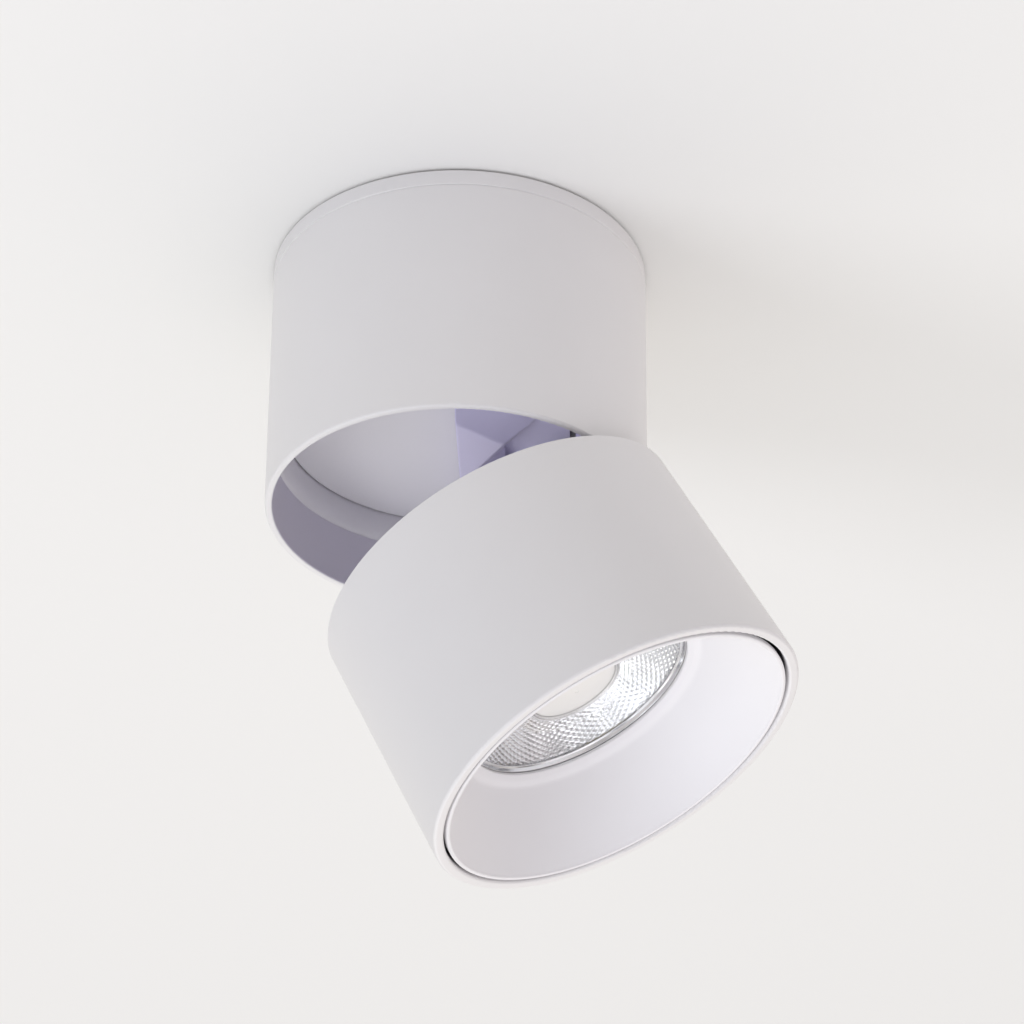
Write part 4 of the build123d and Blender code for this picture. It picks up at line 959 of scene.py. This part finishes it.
def even_normals(mesh):
    """Gives each point the direction of the faces round it, the large ones counting for most."""
    sums = [Vector() for _ in mesh.vertices]
    for face in mesh.polygons:
        for corner in face.vertices:
            sums[corner] += face.normal * face.area
    mesh.normals_split_custom_set_from_vertices([v.normalized() for v in sums])


bracket_mesh = blunt_copy("cast_bracket", "hinge_bracket", RIDGE_ROUNDING, on_boss)
bracket = stand_in(bracket_mesh, "hinge_bracket", Matrix(), "swivel")
even_normals(bracket.data)

# %% [markdown]
# ## The room
#
# The light hangs under a pale ceiling, which takes its shadow. The ceiling could be one large plane.
# It is a wide flat ring instead, with its hole hidden behind the can, because then nothing lies over
# the back of the light, where the feed comes in. A small gap above the can lets a thin shadow in.

# %% Ceiling
CEILING_GAP = 0.8 * MM
CEILING_RADIUS = 1.1
CEILING_HOLE = 46.0 * MM


def flat_ring(name, inner, outer, level, sides=192):
    """A flat ring at a level, that faces down."""
    mesh = bpy.data.meshes.new(name)
    form = bmesh.new()
    circles = []
    for radius in (inner, outer):
        circles.append([
            form.verts.new((radius * math.cos(a), radius * math.sin(a), level))
            for a in (2 * math.pi * i / sides for i in range(sides))
        ])
    for i in range(sides):
        j = (i + 1) % sides
        form.faces.new((circles[0][i], circles[0][j], circles[1][j], circles[1][i]))
    form.to_mesh(mesh)
    form.free()
    if mesh.polygons[0].normal.z > 0:
        mesh.flip_normals()
    return in_scene(name, mesh)


ceiling = flat_ring("ceiling", CEILING_HOLE, CEILING_RADIUS, CEILING_GAP)
print("the ceiling faces down:", ceiling.data.polygons[0].normal.z < 0)

# %% [markdown]
# The ceiling has matt emulsion paint on plaster. Plaster is never quite flat, which a broad faint bump
# is enough for. From behind, the paint is clear, which needs no second object or switch: the shader
# knows which side of a face it is on.

# %% Paint of the ceiling
CEILING_COLOUR = (0.826, 0.822, 0.812)


def ceiling_paint(colour):
    """Matt paint with a faint plaster relief, which is not there when seen from behind."""
    made, tree = blank_material("ceiling_paint")
    place = add(tree, "ShaderNodeTexCoord")
    plaster = add(tree, "ShaderNodeTexNoise", {
        "Vector": place.outputs["Object"], "Scale": 9.0, "Detail": 5.0})
    relief = add(tree, "ShaderNodeBump", {
        "Strength": 0.06, "Distance": 3 * MM, "Height": plaster.outputs["Fac"]})
    paint = add(tree, "ShaderNodeBsdfPrincipled", {
        "Base Color": (*colour, 1), "Roughness": 0.9, "Specular IOR Level": 0.1,
        "Normal": relief.outputs["Normal"]})
    side = add(tree, "ShaderNodeNewGeometry")
    nothing = add(tree, "ShaderNodeBsdfTransparent")
    mix = add(tree, "ShaderNodeMixShader", {
        0: side.outputs["Backfacing"], 1: paint.outputs[0], 2: nothing.outputs[0]})
    show(tree, mix.outputs[0])
    return made


ceiling.data.materials.append(ceiling_paint(CEILING_COLOUR))
print("paint of the ceiling:", CEILING_COLOUR)

# %% [markdown]
# One large soft lamp stands low down on the left and gives the faint shadow on the ceiling. A small
# lamp would draw a sharp edge round the shadow, which the photo doesn't have. The camera doesn't see
# the lamp itself.

# %% Lamp
LAMP_AIM = Vector((0.02, 0, -0.08))
LAMP_PLACE = Vector((-0.95, -0.6, -1.1))
LAMP_SIZE = 0.6
LAMP_POWER = 4.8
LAMP_COLOUR = (0.93, 0.95, 1.0)


def soft_lamp(name, place, size, power, colour):
    """A square area lamp that looks at the spotlight."""
    data = bpy.data.lights.new(name, "AREA")
    data.shape = "SQUARE"
    data.size = size
    data.energy = power
    data.color = colour
    made = in_scene(name, data)
    made.location = place
    look = LAMP_AIM - place
    made.rotation_euler = look.to_track_quat("-Z", "Y").to_euler()
    made.visible_camera = False
    return made


lamp = soft_lamp("key", LAMP_PLACE, LAMP_SIZE, LAMP_POWER, LAMP_COLOUR)
print("lamp of", lamp.data.energy, "W,", round((LAMP_AIM - lamp.location).length, 2), "m away")

# %% [markdown]
# The rest of the light is very soft. Most of it comes up from below, as from a white floor, and a
# little comes from the right and from behind, where it is warmer. Light from above only matters
# beyond the ceiling. Lamps and walls could make this, but a few tints that each grow towards one
# direction do it without noise.

# %% Light from all round
SKY = (
    ("Z", -1.0, (1.14, 1.15, 1.19)),
    ("Z", 1.0, (0.95, 0.95, 0.95)),
    ("X", 1.0, (0.337, 0.280, 0.270)),
    ("Y", 1.0, (0.55, 0.50, 0.36)),
)


def sky_colour(tree, parts):
    """Sum of the tints, each as strong as a direction points its way."""
    total = None
    for axis, sign, tint in SKY:
        way = add(tree, "ShaderNodeMath", {0: parts.outputs[axis], 1: sign}, operation="MULTIPLY")
        share = add(tree, "ShaderNodeMath", {0: way.outputs[0], 1: 0.0}, operation="MAXIMUM")
        part = add(tree, "ShaderNodeVectorMath", {0: tint, "Scale": share.outputs[0]}, operation="SCALE")
        if total is not None:
            part = add(tree, "ShaderNodeVectorMath", {0: total.outputs[0], 1: part.outputs[0]},
                       operation="ADD")
        total = part
    return total


print("directions of light:", len(SKY))

# %% [markdown]
# Chrome and silver need more, because in an even room they look like grey paint. Furniture could be
# built for them to mirror, but nobody sees it straight on. So mirrors see the same room with light and
# dark patches from a broad noise, and with a floor that gets brighter downwards.

# %% Room that mirrors see
WALL_TINT = (0.14, 0.14, 0.15)
PATCH_SCALE = 4.4
PATCH_DARK, PATCH_LIGHT = 0.45, 1.55
FLOOR_DARK, FLOOR_LIGHT = 0.7, 1.22
MIRRORED_STRENGTH = 0.85


def mirrored_colour(tree, place, parts, sky):
    """The sky with pale walls, made uneven by patches and a bright floor."""
    walls = add(tree, "ShaderNodeVectorMath", {0: sky.outputs[0], 1: WALL_TINT}, operation="ADD")
    clutter = add(tree, "ShaderNodeTexNoise", {
        "Vector": place.outputs["Generated"], "Scale": PATCH_SCALE, "Detail": 1.0})
    patches = add(tree, "ShaderNodeMapRange", {
        "Value": clutter.outputs["Fac"], "From Min": 0.4, "From Max": 0.6,
        "To Min": PATCH_DARK, "To Max": PATCH_LIGHT})
    down = add(tree, "ShaderNodeMath", {0: parts.outputs["Z"], 1: -1.0}, operation="MULTIPLY")
    floor = add(tree, "ShaderNodeMapRange", {
        "Value": down.outputs[0], "From Min": 0.0, "From Max": 0.8,
        "To Min": FLOOR_DARK, "To Max": FLOOR_LIGHT})
    uneven = add(tree, "ShaderNodeMath", {0: patches.outputs[0], 1: floor.outputs[0]},
                 operation="MULTIPLY")
    return add(tree, "ShaderNodeVectorMath", {0: walls.outputs[0], "Scale": uneven.outputs[0]},
               operation="SCALE")


print("patches from", PATCH_DARK, "to", PATCH_LIGHT, "times the light of the room")

# %% [markdown]
# What a ray meets beyond the ceiling depends on what the ray is for. One that comes from a mirror sees
# the uneven room, one that comes from the camera sees a plain pale ground, and all others get the soft
# light. A wall could be the ground too, but it would get in the way of other views.

# %% Surroundings
GROUND = (0.83, 0.825, 0.815)


def surroundings():
    """World of soft light, with an uneven room for mirrors and a plain ground for the camera."""
    world = bpy.data.worlds.new("surroundings")
    bpy.context.scene.world = world
    world.use_nodes = True
    tree = world.node_tree
    tree.nodes.clear()
    place = add(tree, "ShaderNodeTexCoord")
    parts = add(tree, "ShaderNodeSeparateXYZ", {0: place.outputs["Generated"]})
    sky = sky_colour(tree, parts)
    room = mirrored_colour(tree, place, parts, sky)
    light = add(tree, "ShaderNodeBackground", {"Color": sky.outputs[0], "Strength": 1.0})
    mirrored = add(tree, "ShaderNodeBackground", {
        "Color": room.outputs[0], "Strength": MIRRORED_STRENGTH})
    seen = add(tree, "ShaderNodeBackground", {"Color": (*GROUND, 1), "Strength": 1.0})
    path = add(tree, "ShaderNodeLightPath")
    glossy = add(tree, "ShaderNodeMixShader", {
        0: path.outputs["Is Glossy Ray"], 1: light.outputs[0], 2: mirrored.outputs[0]})
    mix = add(tree, "ShaderNodeMixShader", {
        0: path.outputs["Is Camera Ray"], 1: glossy.outputs[0], 2: seen.outputs[0]})
    out = add(tree, "ShaderNodeOutputWorld")
    tree.links.new(mix.outputs[0], out.inputs["Surface"])
    return world


print("world:", surroundings().name)
bpy.context.scene.view_settings.view_transform = "Standard"
